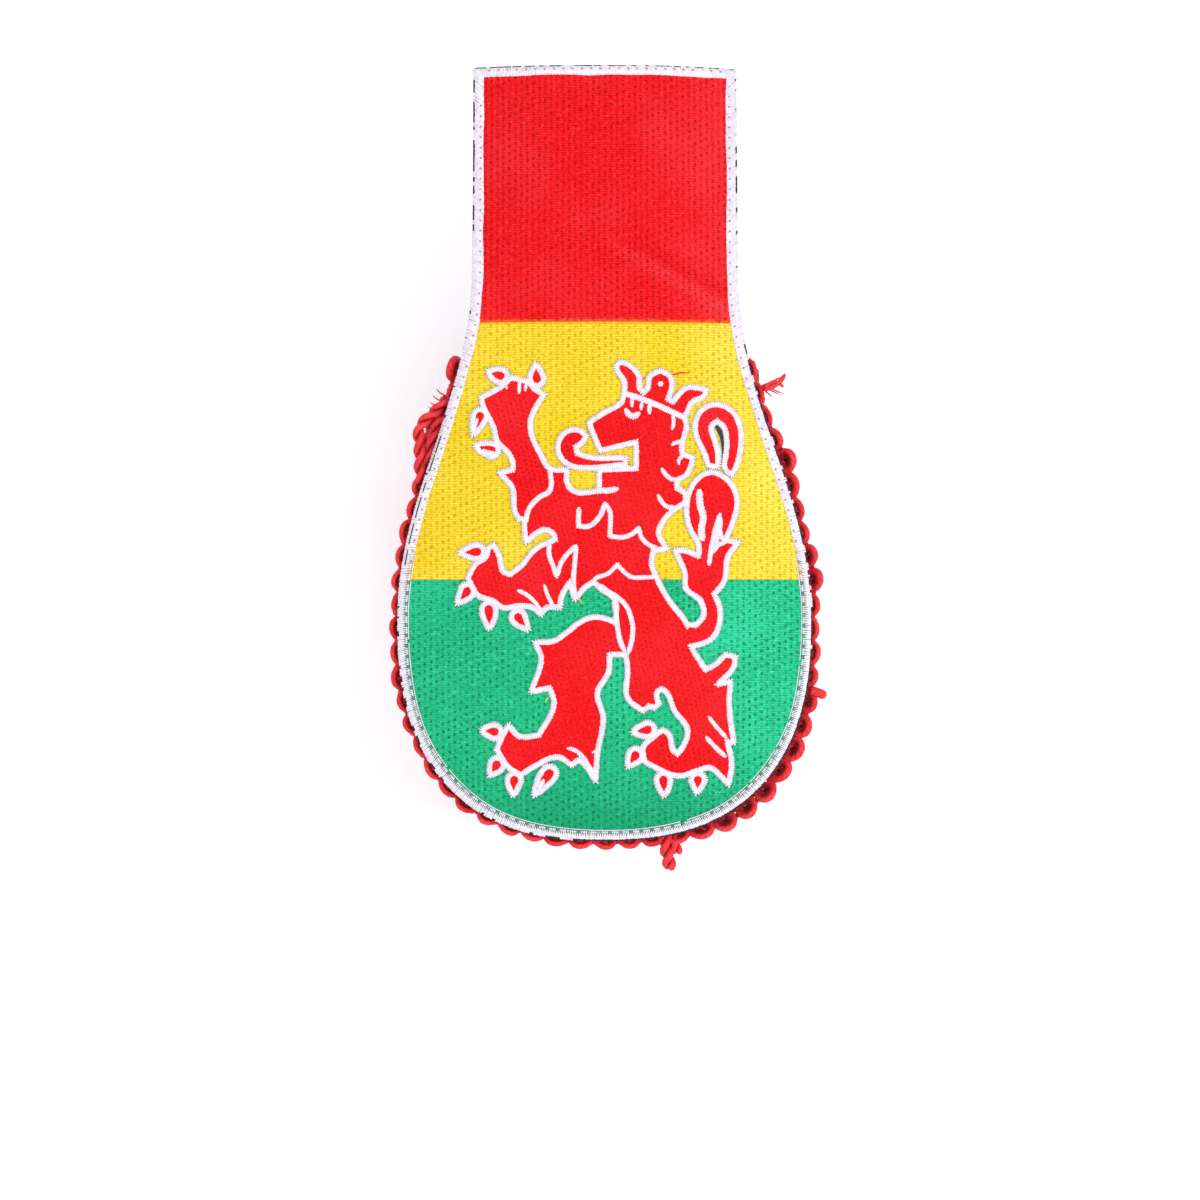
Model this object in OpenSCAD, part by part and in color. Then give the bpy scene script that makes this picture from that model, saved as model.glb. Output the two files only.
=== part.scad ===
// Fringed shoulder board: an embroidered, domed cloth panel with a straight
// strap at one end and a rounded pad at the other, edged all round, with a
// lion on its face and a curtain of twisted cords hung from the pad's rim.
// Millimetres. The strap runs towards +Y, the rounded end towards -Y, and the
// face looks up. The origin is on the underside, in the middle of the pad.

/* [Panel] */
// half width of the pad where it is widest
pad_half = 53.8; // [45:0.1:60]
// half width of the strap
strap_half = 34.4; // [25:0.1:40]
// length of the rounded end, from the widest line to the rim
round_len = 57.4; // [45:0.1:70]
// distance from the widest line to the strap's cut end
strap_end = 144; // [110:0.5:170]
// distance from the widest line at which the pad has narrowed to the strap
neck_len = 90; // [70:1:110]
// squareness of the rounded end: 2 is an ellipse
roundness = 2.47; // [2:0.01:3]

/* [Dome] */
// how far the pad's rim lies below its crown
pad_drop = 6; // [2:0.5:12]
// how far the strap's long edges lie below its middle
strap_drop = 4; // [0:0.5:8]
// steepness of the dome towards its rim
dome_power = 2.4; // [1.5:0.1:4]
// distance from the widest line at which the dome begins to flatten
flat_from = 10; // [0:1:30]
// how far the strap's cut end sags
end_sag = 7; // [0:0.5:15]
// distance from the widest line at which the sag begins
sag_from = 55; // [30:1:80]
// height of the waves along the strap's long edges
wave_high = 1.5; // [0:0.1:3]
// depth of the soft dent at the strap's right edge
dent_deep = 0.9; // [0:0.1:2]
// distance from the widest line to the dent
dent_at = 100; // [80:1:130]
// how far the dent spreads
dent_wide = 9; // [5:0.5:15]

/* [Cloth] */
// thickness of the backing cloth
backing_thick = 1.2; // [1:0.1:2]
// thickness of the embroidered face
face_thick = 1.2; // [1:0.1:2]
// clear gap between cloth pieces
cloth_gap = 0.15; // [0.1:0.05:0.3]
// where the middle colour band begins, from the widest line
band_low = 10.3; // [0:0.1:30]
// where the middle colour band ends
band_high = 76.7; // [60:0.1:90]

/* [Edging] */
// width of the sewn edging
edge_wide = 2.7; // [2:0.1:4]
// how much of the backing shows outside the edging
edge_inset = 0.4; // [0:0.1:1]
// height of the edging above the backing
edge_high = 1.6; // [1:0.1:2.5]

/* [Lion] */
// how far the lion stands above the face
lion_thick = 0.45; // [0.3:0.05:1]
// gap between the lion and the face
lion_gap = 0.05; // [0.02:0.01:0.1]

/* [Fringe] */
// number of hanging cords
cord_count = 51; // [30:1:60]
// radius of one twisted cord
cord_r = 2.75; // [2:0.05:2.8]
// how far the fringe reaches below the rim
fringe_drop = 71; // [40:1:90]
// where the fringe begins on each side, from the widest line
fringe_from = 68; // [50:1:80]
// height of the woven heading
heading_high = 11; // [6:1:20]
// half thickness of the heading
heading_half = 3; // [2.9:0.1:4]
// height of the heading's bevelled shoulder
shoulder_high = 2; // [1:0.5:4]
// number of cords in one clump
clump = 5.3; // [3:0.1:8]
// largest lean of a cord's lower end within its clump
lean_most = 3.4; // [0:0.1:4]
// largest difference in lean besides
lean_vary = 2; // [0:0.1:3]
// largest swing of a cord at mid height
bend_most = 0.5; // [0:0.1:1]
// largest turn of a cord's tip to one side
hook_most = 2; // [0:0.1:3]
// how much shorter the shortest cords are, halved
length_vary = 3; // [0:0.5:5]
// how far inwards every second cord hangs
step_in = 3.8; // [3:0.1:5]
// how far outwards the other cords hang
step_out = 0.6; // [0:0.1:1]

/* [Hidden] */
red = [0.86, 0.08, 0.10];
yellow = [0.93, 0.80, 0.15];
green = [0.10, 0.62, 0.40];
white = [0.93, 0.92, 0.94];
black = [0.06, 0.06, 0.08];
crimson = [0.60, 0.07, 0.11];
face_low = backing_thick + cloth_gap;
face_top = face_low + face_thick;
face_inset = edge_inset + edge_wide + cloth_gap;
rim_gap = 2 * cloth_gap;
rim_arc = 5;
side_steps = 12;
end_steps = 6;
neck_steps = 20;
cord_sides = 6;
along_reach = 1.5;
// degrees of wave in one millimetre of the strap's edge, and at the widest line
wave_right = [4.2, 20];
wave_left = [3.6, 200];
// height range that holds the whole face
slab_low = -2 * pad_drop;
slab_high = 2 * pad_drop;
// where the first clump of cords begins, as a share of a clump
clump_start = 0.35;
// swaying of a cord inwards and outwards
sway = 0.3;
lean_curve = 1.4;
hook_curve = 4;
across = [-1, -0.9, -0.72, -0.48, -0.24, 0, 0.24, 0.48, 0.72, 0.9, 1];
round_angles = [88, 78, 68, 57, 46, 34, 22, 11];

// Half width of the panel's outline, drawn in by d, y above the widest line.
function side(y, d) =
  strap_half + (pad_half - strap_half) * (1 + cos(180 * min(y, neck_len) / neck_len)) / 2 - d;

// Half width y below the widest line.
function nose(y, d) =
  (pad_half - d) * pow(max(0, 1 - pow(-y / (round_len - d), roundness)), 1 / roundness);

function half(y, d) = y >= 0 ? side(y, d) : nose(y, d);

// Nearness to the rim: 0 on the crown line, 1 on the outline.
function nearness(x, y) =
  y >= 0
    ? abs(x) / side(y, 0)
    : pow(pow(abs(x) / pad_half, roundness) + pow(-y / round_len, roundness), 1 / roundness);

// Share of the way from the pad to the strap, 0 to 1.
function strapness(y) =
  (1 - cos(180 * max(0, min(1, (y - flat_from) / (neck_len - flat_from))))) / 2;

function edge_wave(x, y) =
  let (wave = x > 0 ? wave_right : wave_left)
  wave_high * strapness(y) * sin(wave[0] * y + wave[1]);

function dent(x, y) =
  -dent_deep * exp(-(pow(x - strap_half, 2) + pow(y - dent_at, 2)) / (2 * dent_wide * dent_wide));

// Height of the panel's underside.
function lift(x, y) =
  -(pad_drop + (strap_drop - pad_drop) * strapness(y)) * pow(nearness(x, y), dome_power)
  - end_sag * pow(max(0, (y - sag_from) / (strap_end - sag_from)), 1.5)
  + edge_wave(x, y) * pow(min(1, nearness(x, y)), 2)
  + dent(x, y);

// Rows for the rounded end, from the rim up to just below the widest line.
function round_rows(d) =
  [for (a = round_angles) -(round_len - d) * pow(sin(a), 2 / roundness)];

// Rows between two heights, low and high included.
function rows(low, high, steps) = [for (i = [0 : steps]) low + (high - low) * i / steps];

// A domed sheet over the given rows, between two heights above the underside.
module sheet(row_list, d, low, high) {
  m = len(across);
  n = len(row_list);
  plan = [for (y = row_list) for (c = across) [c * half(y, d), y]];
  count = m * n;
  top = [for (p = plan) [p[0], p[1], lift(p[0], p[1]) + high]];
  base = [for (p = plan) [p[0], p[1], lift(p[0], p[1]) + low]];
  cells = [for (i = [0 : n - 2]) for (j = [0 : m - 2]) i * m + j];
  up = [for (a = cells) for (f = [[a, a + m, a + m + 1], [a, a + m + 1, a + 1]]) f];
  down = [for (f = up) [f[0] + count, f[2] + count, f[1] + count]];
  loop = concat(
    [for (j = [0 : m - 1]) j],
    [for (i = [1 : n - 1]) i * m + m - 1],
    [for (j = [m - 2 : -1 : 0]) (n - 1) * m + j],
    [for (i = [n - 2 : -1 : 1]) i * m]
  );
  k = len(loop);
  walls = [
    for (i = [0 : k - 1])
    let (a = loop[i], b = loop[(i + 1) % k])
    for (f = [[a, b, b + count], [a, b + count, a + count]]) f
  ];
  polyhedron(points = concat(top, base), faces = concat(up, down, walls));
}

// The outline drawn in by d: the rounded end from right to left, the left
// side, the strap's cut end and the right side.
function outline(d) = concat(
  [for (a = [0 : rim_arc : 179])
    [(pad_half - d) * sign(cos(a)) * pow(abs(cos(a)), 2 / roundness),
     -(round_len - d) * pow(sin(a), 2 / roundness)]],
  [for (i = [0 : side_steps - 1]) let (y = (strap_end - d) * i / side_steps) [-side(y, d), y]],
  [for (i = [0 : end_steps - 1]) [side(strap_end, d) * (2 * i / end_steps - 1), strap_end - d]],
  [for (i = [side_steps : -1 : 1]) let (y = (strap_end - d) * i / side_steps) [side(y, d), y]]
);

module backing() {
  color(black)
    sheet(
      concat(round_rows(0), rows(0, neck_len, 8), rows(neck_len + 13, strap_end, 3)),
      0, 0, backing_thick
    );
}

module field_green() {
  color(green)
    sheet(
      concat(round_rows(face_inset), rows(0, band_low - cloth_gap / 2, 1)),
      face_inset, face_low, face_top
    );
}

module field_yellow() {
  color(yellow)
    sheet(rows(band_low + cloth_gap / 2, band_high - cloth_gap / 2, 7), face_inset, face_low, face_top);
}

module field_red() {
  color(red)
    sheet(rows(band_high + cloth_gap / 2, strap_end - face_inset, 5), face_inset, face_low, face_top);
}

// The edging's section as distance in from the outline and height above the
// panel's underside.
edge_section = [
  [edge_inset, face_low],
  [edge_inset, face_low + 0.6 * edge_high],
  [edge_inset + 0.25 * edge_wide, face_low + edge_high],
  [edge_inset + 0.8 * edge_wide, face_low + edge_high],
  [edge_inset + edge_wide, face_low + 0.7 * edge_high],
  [edge_inset + edge_wide, face_low]
];

module edging() {
  m = len(edge_section);
  loops = [for (s = edge_section) outline(s[0])];
  k = len(loops[0]);
  points = [
    for (i = [0 : k - 1]) for (j = [0 : m - 1])
    let (p = loops[j][i]) [p[0], p[1], lift(p[0], p[1]) + edge_section[j][1]]
  ];
  faces = [
    for (i = [0 : k - 1]) for (j = [0 : m - 1])
    let (
      next = (i + 1) % k,
      a = i * m + j,
      b = i * m + (j + 1) % m,
      c = next * m + j,
      e = next * m + (j + 1) % m
    )
    for (f = [[a, b, e], [a, e, c]]) f
  ];
  color(white)
    polyhedron(points = points, faces = faces);
}

// The lion, a heraldic beast rearing up and facing left, with a crown, a
// curled tongue, loose claws and a tail in the shape of an S.
lion_body = [
  [-4.2, 50.6], [-0.5, 53], [4.2, 55.8], [5, 58], [12.5, 55.5], [20, 52.2], [20.9, 50], [20.3, 47.2],
  [19.7, 45], [19.8, 42.4], [22.6, 41.8], [22, 39.4], [20.6, 37], [18.4, 36], [18.4, 33.8],
  [20.6, 32.6], [20.6, 30.4], [18.4, 28.8], [16.4, 27.2], [14.4, 24.6], [13.7, 22.2], [16, 18.2],
  [12.4, 18], [11.9, 14.5], [13.2, 10.8], [16.8, 4.4], [20.2, 0.2], [22, -3], [21.8, -6.6],
  [25.8, -12.9], [28.4, -11.4], [31, -8.9], [33.6, -9.6], [33, -12.2], [28.8, -16.7], [32.3, -15.8],
  [31.9, -20.5], [32.2, -25.5], [33.2, -31.6], [31.4, -31.2], [32.6, -37], [31.9, -42.6],
  [29.6, -40], [27, -38.1], [23.6, -38.9], [19, -40.2], [12.4, -37.7], [10, -36.3], [9.9, -32.6],
  [12.6, -30], [14.8, -28.2], [16.4, -29.4], [17.4, -33.4], [18.6, -34.6], [20.2, -32.4],
  [21.2, -28.2], [17.8, -23.2], [15.8, -18.6], [14.4, -17.6], [13.2, -18.8], [13.8, -21.6],
  [12.6, -22.6], [11.2, -22.1], [9.7, -23.4], [5.8, -20], [5.8, -13], [5.4, -8.9], [0, -8.8],
  [0, -2], [2.7, -1.8], [2.4, 5.4], [-0.8, 7.8], [-3, 9.8], [-5.2, 8.3], [-7.8, 5.2],
  [-9.4, 11.2], [-12, 18], [-13.2, 22], [-15.4, 23.2], [-18, 22], [-20.4, 19.8], [-20.6, 25.2],
  [-19.6, 28.4], [-14.8, 33], [-14.4, 38.8], [-9.7, 38.6], [-9.8, 35.2], [-8, 33], [-1.5, 33],
  [-1.5, 38.5], [8, 38.8], [8, 45.7], [-1.2, 43.4]
];
lion_arm = [
  [-14, 38.6], [-16.8, 43], [-18.6, 46.6], [-19.2, 50.8], [-17.6, 55], [-15.6, 57.8], [-18, 59.2],
  [-20, 61.2], [-22, 61.6], [-24, 62.4], [-26, 60.4], [-29, 58.6], [-31.9, 57.2], [-31.2, 54.6],
  [-28.6, 49.4], [-27.8, 46], [-24.8, 42.8], [-23.7, 40.6], [-23.7, 38.5], [-27.2, 37.9],
  [-23.8, 33.8], [-23.2, 28], [-22.2, 25.9], [-20.2, 26], [-18.6, 28.8], [-14, 32.8]
];
lion_forepaw = [
  [-11, 21.4], [-15.2, 19.4], [-17.8, 18.2], [-21.6, 13.8], [-24.4, 11.6], [-26.2, 12.4],
  [-27.2, 16.4], [-28.6, 19.3], [-30, 18.4], [-30.6, 16.2], [-33.4, 14.2], [-35.3, 10.8],
  [-32.8, 6.4], [-28.6, 4.8], [-26.4, 3.2], [-22, 3.6], [-19.2, 3.4], [-16.4, 1.4], [-15, 3.2],
  [-11.6, 3.2], [-11.2, 6], [-7.6, 12.4]
];
lion_hind_leg = [
  [2.6, -0.9], [0.4, 0.2], [-3, 0.7], [-6.4, -0.6], [-10, -3.4], [-13, -5.4], [-18.1, -5.8],
  [-16.4, -9.6], [-19, -18.5], [-14.2, -17.4], [-13.1, -21.6], [-17, -29.7], [-22.2, -29.9],
  [-24.8, -27], [-26.4, -30], [-27.9, -33.4], [-24.6, -38.2], [-21.6, -39.9], [-18.4, -37.8],
  [-12, -35.3], [-8.6, -37.4], [-6.7, -35.8], [-4.4, -38.2], [-2.4, -41.6], [-2, -34.4],
  [-0.5, -25], [-2, -18.8], [0.9, -13.2], [1.1, -8], [5.2, -7.8]
];
lion_tail = [
  [20.4, -3.4], [21.6, -1.2], [23.4, -1.4], [25.3, 1.2], [24.6, 4.8], [20.7, 8.2], [20.5, 12],
  [17.9, 17.9], [20.8, 17.7], [24, 16.2], [24.1, 19], [21.6, 24], [20.9, 28.2], [22, 33.6],
  [24.4, 36.8], [27.4, 37.9], [30.6, 36.7], [33.2, 33.6], [34, 30], [32.8, 25], [30.8, 20.4],
  [34.4, 20], [31.6, 16.4], [30.6, 10], [28, 6.6], [29.4, 3.4], [29.2, -1.6], [27.4, -4.8],
  [22.8, -6.6], [20, -6.8]
];
lion_tail_end = [
  [26.5, 39.6], [25.8, 42.2], [23.4, 47.6], [23.2, 50.4], [24.4, 53.4], [27, 55.2], [30.2, 55.2],
  [33.2, 53.2], [34.8, 49.6], [35, 45.6], [34.2, 40.8], [32.7, 37.2], [30.8, 39], [31.2, 43],
  [31.3, 46.4], [30.6, 49.6], [28.8, 51.2], [27.3, 49.8], [27.8, 47.2], [29.1, 43.6], [29, 39.4]
];
lion_crown = [
  [4.6, 56.6], [5, 60.8], [2.9, 65], [3.6, 66.2], [5.4, 65.8], [8.6, 62.8], [8.8, 59.6], [9.9, 58.2],
  [11.1, 59.8], [11.4, 62.4], [14.2, 64], [16.6, 62.6], [17.2, 60.4], [16.1, 56.6], [17.4, 55.9],
  [18.9, 57.8], [20.6, 59.5], [26.1, 59.3], [25.4, 57.5], [22.4, 56], [20.6, 52.6], [19, 51.6]
];
lion_tongue = [
  [5.3, 39.9], [-5, 39], [-8.6, 39.5], [-11, 41.2], [-12.1, 43.8], [-11.4, 46.8], [-9, 48.7],
  [-6.4, 48.5], [-4.8, 47.2], [-6, 45.4], [-7.6, 44.4], [-7.2, 42.7], [-4, 41.7], [5.3, 41.6]
];
// Claws: place of the round root and of the tip.
root = 0;
tip = 1;
claw_r = 1.8;
claw_tip_r = 0.3;
lion_claws = [
  [[-26.9, 62.7], [-29.9, 63.8]], [[-17.5, 61.9], [-17.8, 65.5]], [[-32.2, 52.4], [-34, 47.8]],
  [[-29.2, 43.6], [-33.2, 44.9]], [[-32.9, 17.5], [-37.1, 17.3]], [[-35.5, 7.4], [-37.9, 4.4]],
  [[-29.9, 2.7], [-29.9, -2]], [[-22.3, 0.7], [-20, -2.3]], [[-28.5, -28.8], [-31.5, -28.4]],
  [[-27.9, -37.3], [-29.6, -40]], [[-23.4, -41.3], [-23.7, -45]], [[-14.3, -39.5], [-18.2, -45]],
  [[10.9, -28.2], [7.4, -28.8]], [[7.8, -34.8], [6, -37.6]], [[15, -41.2], [15.1, -45.1]],
  [[23.9, -41.3], [23.7, -44.3]]
];

module claw(place) {
  hull() {
    translate(place[root])
      circle(r = claw_r, $fn = 8);
    translate(place[tip])
      circle(r = claw_tip_r, $fn = 3);
  }
}

module lion_figure() {
  for (part = [lion_body, lion_arm, lion_forepaw, lion_hind_leg, lion_tail, lion_tail_end,
               lion_crown, lion_tongue])
    polygon(part);
  for (place = lion_claws)
    claw(place);
}

module lion() {
  color(red)
    intersection() {
      translate([0, 0, slab_low])
        linear_extrude(height = slab_high - slab_low)
          lion_figure();
      sheet(
        concat(
          round_rows(face_inset),
          rows(0, band_low - cloth_gap / 2, 1),
          rows(band_low + cloth_gap / 2, band_high - cloth_gap / 2, 7)
        ),
        face_inset, face_top + lion_gap, face_top + lion_gap + lion_thick
      );
    }
}

// The stretch of the outline that carries the fringe, from the left neck round
// the pad to the right neck, as close points.
rim = concat(
  [for (i = [neck_steps : -1 : 1]) let (y = fringe_from * i / neck_steps) [-side(y, 0), y]],
  [for (a = [180 : -rim_arc + 1 : 0])
    [pad_half * sign(cos(a)) * pow(abs(cos(a)), 2 / roundness), -round_len * pow(sin(a), 2 / roundness)]],
  [for (i = [1 : neck_steps]) let (y = fringe_from * i / neck_steps) [side(y, 0), y]]
);
function run_lengths(i, total) =
  i >= len(rim)
    ? []
    : concat([total], run_lengths(i + 1, i + 1 < len(rim) ? total + norm(rim[i + 1] - rim[i]) : total));
rim_runs = run_lengths(0, 0);
rim_len = rim_runs[len(rim) - 1];
rim_x = [for (i = [0 : len(rim) - 1]) [rim_runs[i], rim[i][0]]];
rim_y = [for (i = [0 : len(rim) - 1]) [rim_runs[i], rim[i][1]]];

// Place on the rim at a run length, and the direction along it.
function rim_at(s) = [lookup(s, rim_x), lookup(s, rim_y)];
function rim_along(s) = let (v = rim_at(s + along_reach) - rim_at(s - along_reach)) v / norm(v);
function rim_inward(s) = let (v = rim_along(s)) [-v[1], v[0]];

// Each cord's own lean along the rim, bend, hook, length and step inwards. The
// lean falls through a clump of cords and jumps back. The numbers in degrees
// only make one cord unlike the next.
pitch = rim_len / cord_count;
function cord_run(i) = pitch * (i + 0.5);
function share(v) = v - floor(v);
function cord_lean(i) = lean_most * (1 - 2 * share(i / clump + clump_start)) + lean_vary * sin(7 * i + 200);
function cord_bend(i) = bend_most * sin(97 * i + 50);
function cord_hook(i) = hook_most * sin(31 * i + 60);
function cord_len(i) = fringe_drop - length_vary * (1 - 0.6 * sin(73 * i) - 0.4 * sin(131 * i + 40));
function cord_step(i) = i % 2 == 0 ? -step_out : step_in;

// Middle of cord i at share w of the stretch that hangs free of the heading.
function cord_at(i, w) =
  let (
    s = cord_run(i),
    p = rim_at(s),
    lean = cord_lean(i) * pow(w, lean_curve),
    hook = cord_hook(i) * pow(w, hook_curve),
    shift = lean + hook + cord_bend(i) * sin(360 * w),
    inward = (cord_step(i) + sway * sin(41 * i + 200 * w)) * min(1, 4 * w),
    q = p + rim_along(s) * shift + rim_inward(s) * inward,
    fall = heading_high + (cord_len(i) - heading_high) * w
  )
  [q[0], q[1], lift(p[0], p[1]) - rim_gap - fall];

// The heading's section as distance inwards and height from its top, and each
// cord's rings as share of its free stretch and share of its radius.
heading_section = [
  [heading_half, 0],
  [-0.6 * heading_half, 0],
  [-heading_half, -shoulder_high],
  [-heading_half, -heading_high],
  [heading_half, -heading_high]
];
cord_rings = [
  [0, 0.96], [0.17, 1], [0.33, 0.96], [0.5, 1], [0.67, 0.96], [0.83, 1], [0.97, 0.9], [1, 0.5]
];

// The heading and its cords as one closed surface: the heading runs from the
// left neck to the right neck, and each cord grows out of its underside.
module fringe() {
  m = len(heading_section);
  heading = [
    for (i = [0 : cord_count])
    let (s = pitch * i, p = rim_at(s), n = rim_inward(s), z = lift(p[0], p[1]) - rim_gap)
    for (c = heading_section) [p[0] + n[0] * c[0], p[1] + n[1] * c[0], z + c[1]]
  ];
  cords = [
    for (i = [0 : cord_count - 1])
    let (s = cord_run(i), u = rim_along(s), n = rim_inward(s))
    for (ring = cord_rings)
    let (c = cord_at(i, ring[0]), r = cord_r * ring[1])
    for (j = [0 : cord_sides - 1])
    let (a = 360 * j / cord_sides, q = u * r * cos(a) + n * r * sin(a))
    [c[0] + q[0], c[1] + q[1], c[2]]
  ];
  heading_walls = [
    for (i = [0 : cord_count - 1]) for (j = [0, 1, 2, 4])
    let (a = i * m + j, b = i * m + (j + 1) % m)
    for (f = [[a, a + m, b + m], [a, b + m, b]]) f
  ];
  cord_points = len(cord_rings) * cord_sides;
  first_cord = len(heading);
  // Underside of the heading round cord i: corners outer and inner at its start
  // and end, and the cord's first ring.
  undersides = [
    for (i = [0 : cord_count - 1])
    let (
      a = i * m + 3,
      b = i * m + 4,
      c = b + m,
      d = a + m,
      r = first_cord + i * cord_points
    )
    for (f = [
      [d, c, r], [c, r + 1, r], [c, b, r + 1], [b, r + 2, r + 1], [b, r + 3, r + 2],
      [b, a, r + 3], [a, r + 4, r + 3], [a, d, r + 4], [d, r + 5, r + 4], [d, r, r + 5]
    ]) f
  ];
  cord_walls = [
    for (i = [0 : cord_count - 1]) for (k = [0 : len(cord_rings) - 2]) for (j = [0 : cord_sides - 1])
    let (
      ring = first_cord + i * cord_points + k * cord_sides,
      a = ring + j,
      b = ring + (j + 1) % cord_sides
    )
    for (f = [[a, b, b + cord_sides], [a, b + cord_sides, a + cord_sides]]) f
  ];
  cord_tips = [
    for (i = [0 : cord_count - 1])
    [for (j = [0 : cord_sides - 1]) first_cord + (i + 1) * cord_points - cord_sides + j]
  ];
  ends = [
    [for (j = [0 : m - 1]) j],
    [for (j = [m - 1 : -1 : 0]) cord_count * m + j]
  ];
  color(crimson)
    polyhedron(
      points = concat(heading, cords),
      faces = concat(heading_walls, undersides, cord_walls, cord_tips, ends)
    );
}

backing();
field_red();
field_yellow();
field_green();
edging();
lion();
fringe();
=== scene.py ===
import math

import bmesh
import bpy
import numpy as np
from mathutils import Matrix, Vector
from mathutils.geometry import delaunay_2d_cdt


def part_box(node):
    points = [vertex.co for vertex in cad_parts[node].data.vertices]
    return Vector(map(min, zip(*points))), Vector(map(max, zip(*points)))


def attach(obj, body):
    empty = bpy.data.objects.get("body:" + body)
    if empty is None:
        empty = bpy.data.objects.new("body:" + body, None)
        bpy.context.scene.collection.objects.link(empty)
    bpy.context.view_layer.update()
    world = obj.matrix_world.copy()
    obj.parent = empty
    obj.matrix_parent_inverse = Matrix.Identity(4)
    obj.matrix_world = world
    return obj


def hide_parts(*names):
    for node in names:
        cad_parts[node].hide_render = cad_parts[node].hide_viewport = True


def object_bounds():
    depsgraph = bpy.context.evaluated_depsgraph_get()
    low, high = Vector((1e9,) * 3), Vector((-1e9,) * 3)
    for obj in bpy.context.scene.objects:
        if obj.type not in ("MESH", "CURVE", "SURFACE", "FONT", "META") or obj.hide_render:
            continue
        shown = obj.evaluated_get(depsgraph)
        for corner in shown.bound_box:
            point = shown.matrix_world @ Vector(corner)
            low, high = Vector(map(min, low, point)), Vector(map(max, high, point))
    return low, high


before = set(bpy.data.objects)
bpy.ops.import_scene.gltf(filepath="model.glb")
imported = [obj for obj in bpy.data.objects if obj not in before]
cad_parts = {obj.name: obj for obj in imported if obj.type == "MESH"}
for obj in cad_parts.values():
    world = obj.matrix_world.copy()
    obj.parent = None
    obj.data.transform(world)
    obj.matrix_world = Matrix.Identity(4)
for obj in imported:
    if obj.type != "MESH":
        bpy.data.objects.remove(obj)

cad_low, cad_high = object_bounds()

# The studio: the board lies face up on a pale table and is seen from straight above, its strap away
# from the camera. Two long softboxes at its sides draw the sheen on the threads, wide ones behind
# and in front fill in, and the table glows a little, so that it stays white round the board.
view_middle, view_wide = (-0.0013, 0.0051), 0.309
lens, film_wide = 85, 36
nearest_seen = 0.01
sky_tone, sky_strength = (0.97, 0.97, 1.0, 1), 0.48
table_size, table_gap = 6, 0.0004
bpy.ops.object.select_all(action="DESELECT")
bpy.ops.object.camera_add(location=(*view_middle, view_wide * lens / film_wide), rotation=(0, 0, 0))
camera = bpy.context.object
camera.data.lens = lens
camera.data.clip_start = nearest_seen
bpy.context.scene.camera = camera
bpy.context.scene.view_settings.view_transform = "Standard"


def softbox(name, place, aim, size, power):
    """A lamp that faces its aim."""
    across, down = aim[0] - place[0], aim[1] - place[1]
    tilt = math.atan2(math.hypot(across, down), place[2] - aim[2])
    turn = math.atan2(down, across) - math.pi / 2
    bpy.ops.object.light_add(type="AREA", location=place, rotation=(tilt, 0, turn))
    lamp = bpy.context.object
    lamp.name = name
    lamp.data.shape = "RECTANGLE"
    lamp.data.size, lamp.data.size_y = size
    lamp.data.energy = power


def new_material(name):
    """A material, its shader and its object coordinates."""
    material = bpy.data.materials.new(name)
    material.use_nodes = True
    tree = material.node_tree
    return material, tree.nodes["Principled BSDF"], tree.nodes.new("ShaderNodeTexCoord").outputs["Object"]


def give_finish(shader, finish):
    for socket, value in finish.items():
        shader.inputs[socket].default_value = value


softbox("box_left", (-0.75, 0.10, 0.85), (0, 0.04, 0), (0.35, 1.1), 3.4)
softbox("box_right", (0.75, -0.05, 0.85), (0, 0.04, 0), (0.35, 1.1), 7.0)
softbox("box_over", (0.0, 0.55, 1.20), (0, 0.04, 0), (1.3, 0.7), 5.4)
softbox("box_front", (0.0, -1.10, 0.70), (0, 0, -0.03), (1.2, 0.5), 4.6)

sky = bpy.data.worlds.new("studio_white")
sky.use_nodes = True
give_finish(sky.node_tree.nodes["Background"], {"Color": sky_tone, "Strength": sky_strength})
bpy.context.scene.world = sky

bpy.ops.mesh.primitive_plane_add(size=table_size, location=(0, 0, cad_low.z - table_gap))
table = bpy.context.object
table.name = "table"
table_paper, shader, place = new_material("table_paper")
give_finish(shader, {
    "Base Color": (0.93, 0.92, 0.93, 1),
    "Roughness": 0.9,
    "Emission Color": (1.0, 0.95, 0.98, 1),
    "Emission Strength": 0.27,
})
table.data.materials.append(table_paper)

# The backing: one layer of thick black felt, cut a little larger than the embroidery, so that its
# edge shows all round as a thin dark line. The pad, round in front, is sewn up to a dome, and the
# strap's free end sags and waves. All other pieces lie on this shape, which is worked out in mm.
MM = 0.001
board_low, board_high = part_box("backing")
pad_half, strap_end = board_high.x / MM, board_high.y / MM
round_len = -board_low.y / MM
strap_half, neck_len = 34.4, 90
roundness = 2.47
pad_drop, strap_drop, dome_power = 6, 4, 2.4
flat_from = 10
end_sag, sag_from, sag_power = 7, 55, 1.5
# The wave of the strap's rims: its height, and for each rim its turn in a mm and its start, in degrees.
wave_high, wave_right, wave_left = 1.5, (4.2, 20), (3.6, 200)
dent_deep, dent_at, dent_wide = 0.9, 100, 9
# A soft fold that runs down across the strap to its right edge, and that edge rolled down a little.
fold_from, fold_way = (-4, 102), (0.87, -0.49)
fold_deep, fold_wide, fold_len = 1.0, 3.4, 44
fold_rise, fold_fade = 12, 8
roll_deep, roll_from, roll_wide = 1.0, 14, 20
roll_start, roll_rise = 78, 14
felt_thick = 1.2


def side(y, inset):
    """Half width of the panel y above its widest line, drawn in by inset."""
    narrowing = (1 + np.cos(np.pi * np.minimum(y, neck_len) / neck_len)) / 2
    return strap_half + (pad_half - strap_half) * narrowing - inset


def nose(y, inset):
    """Half width y below the widest line."""
    depth = np.clip(-y / (round_len - inset), 0, 1)
    return (pad_half - inset) * (1 - depth ** roundness) ** (1 / roundness)


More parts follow.
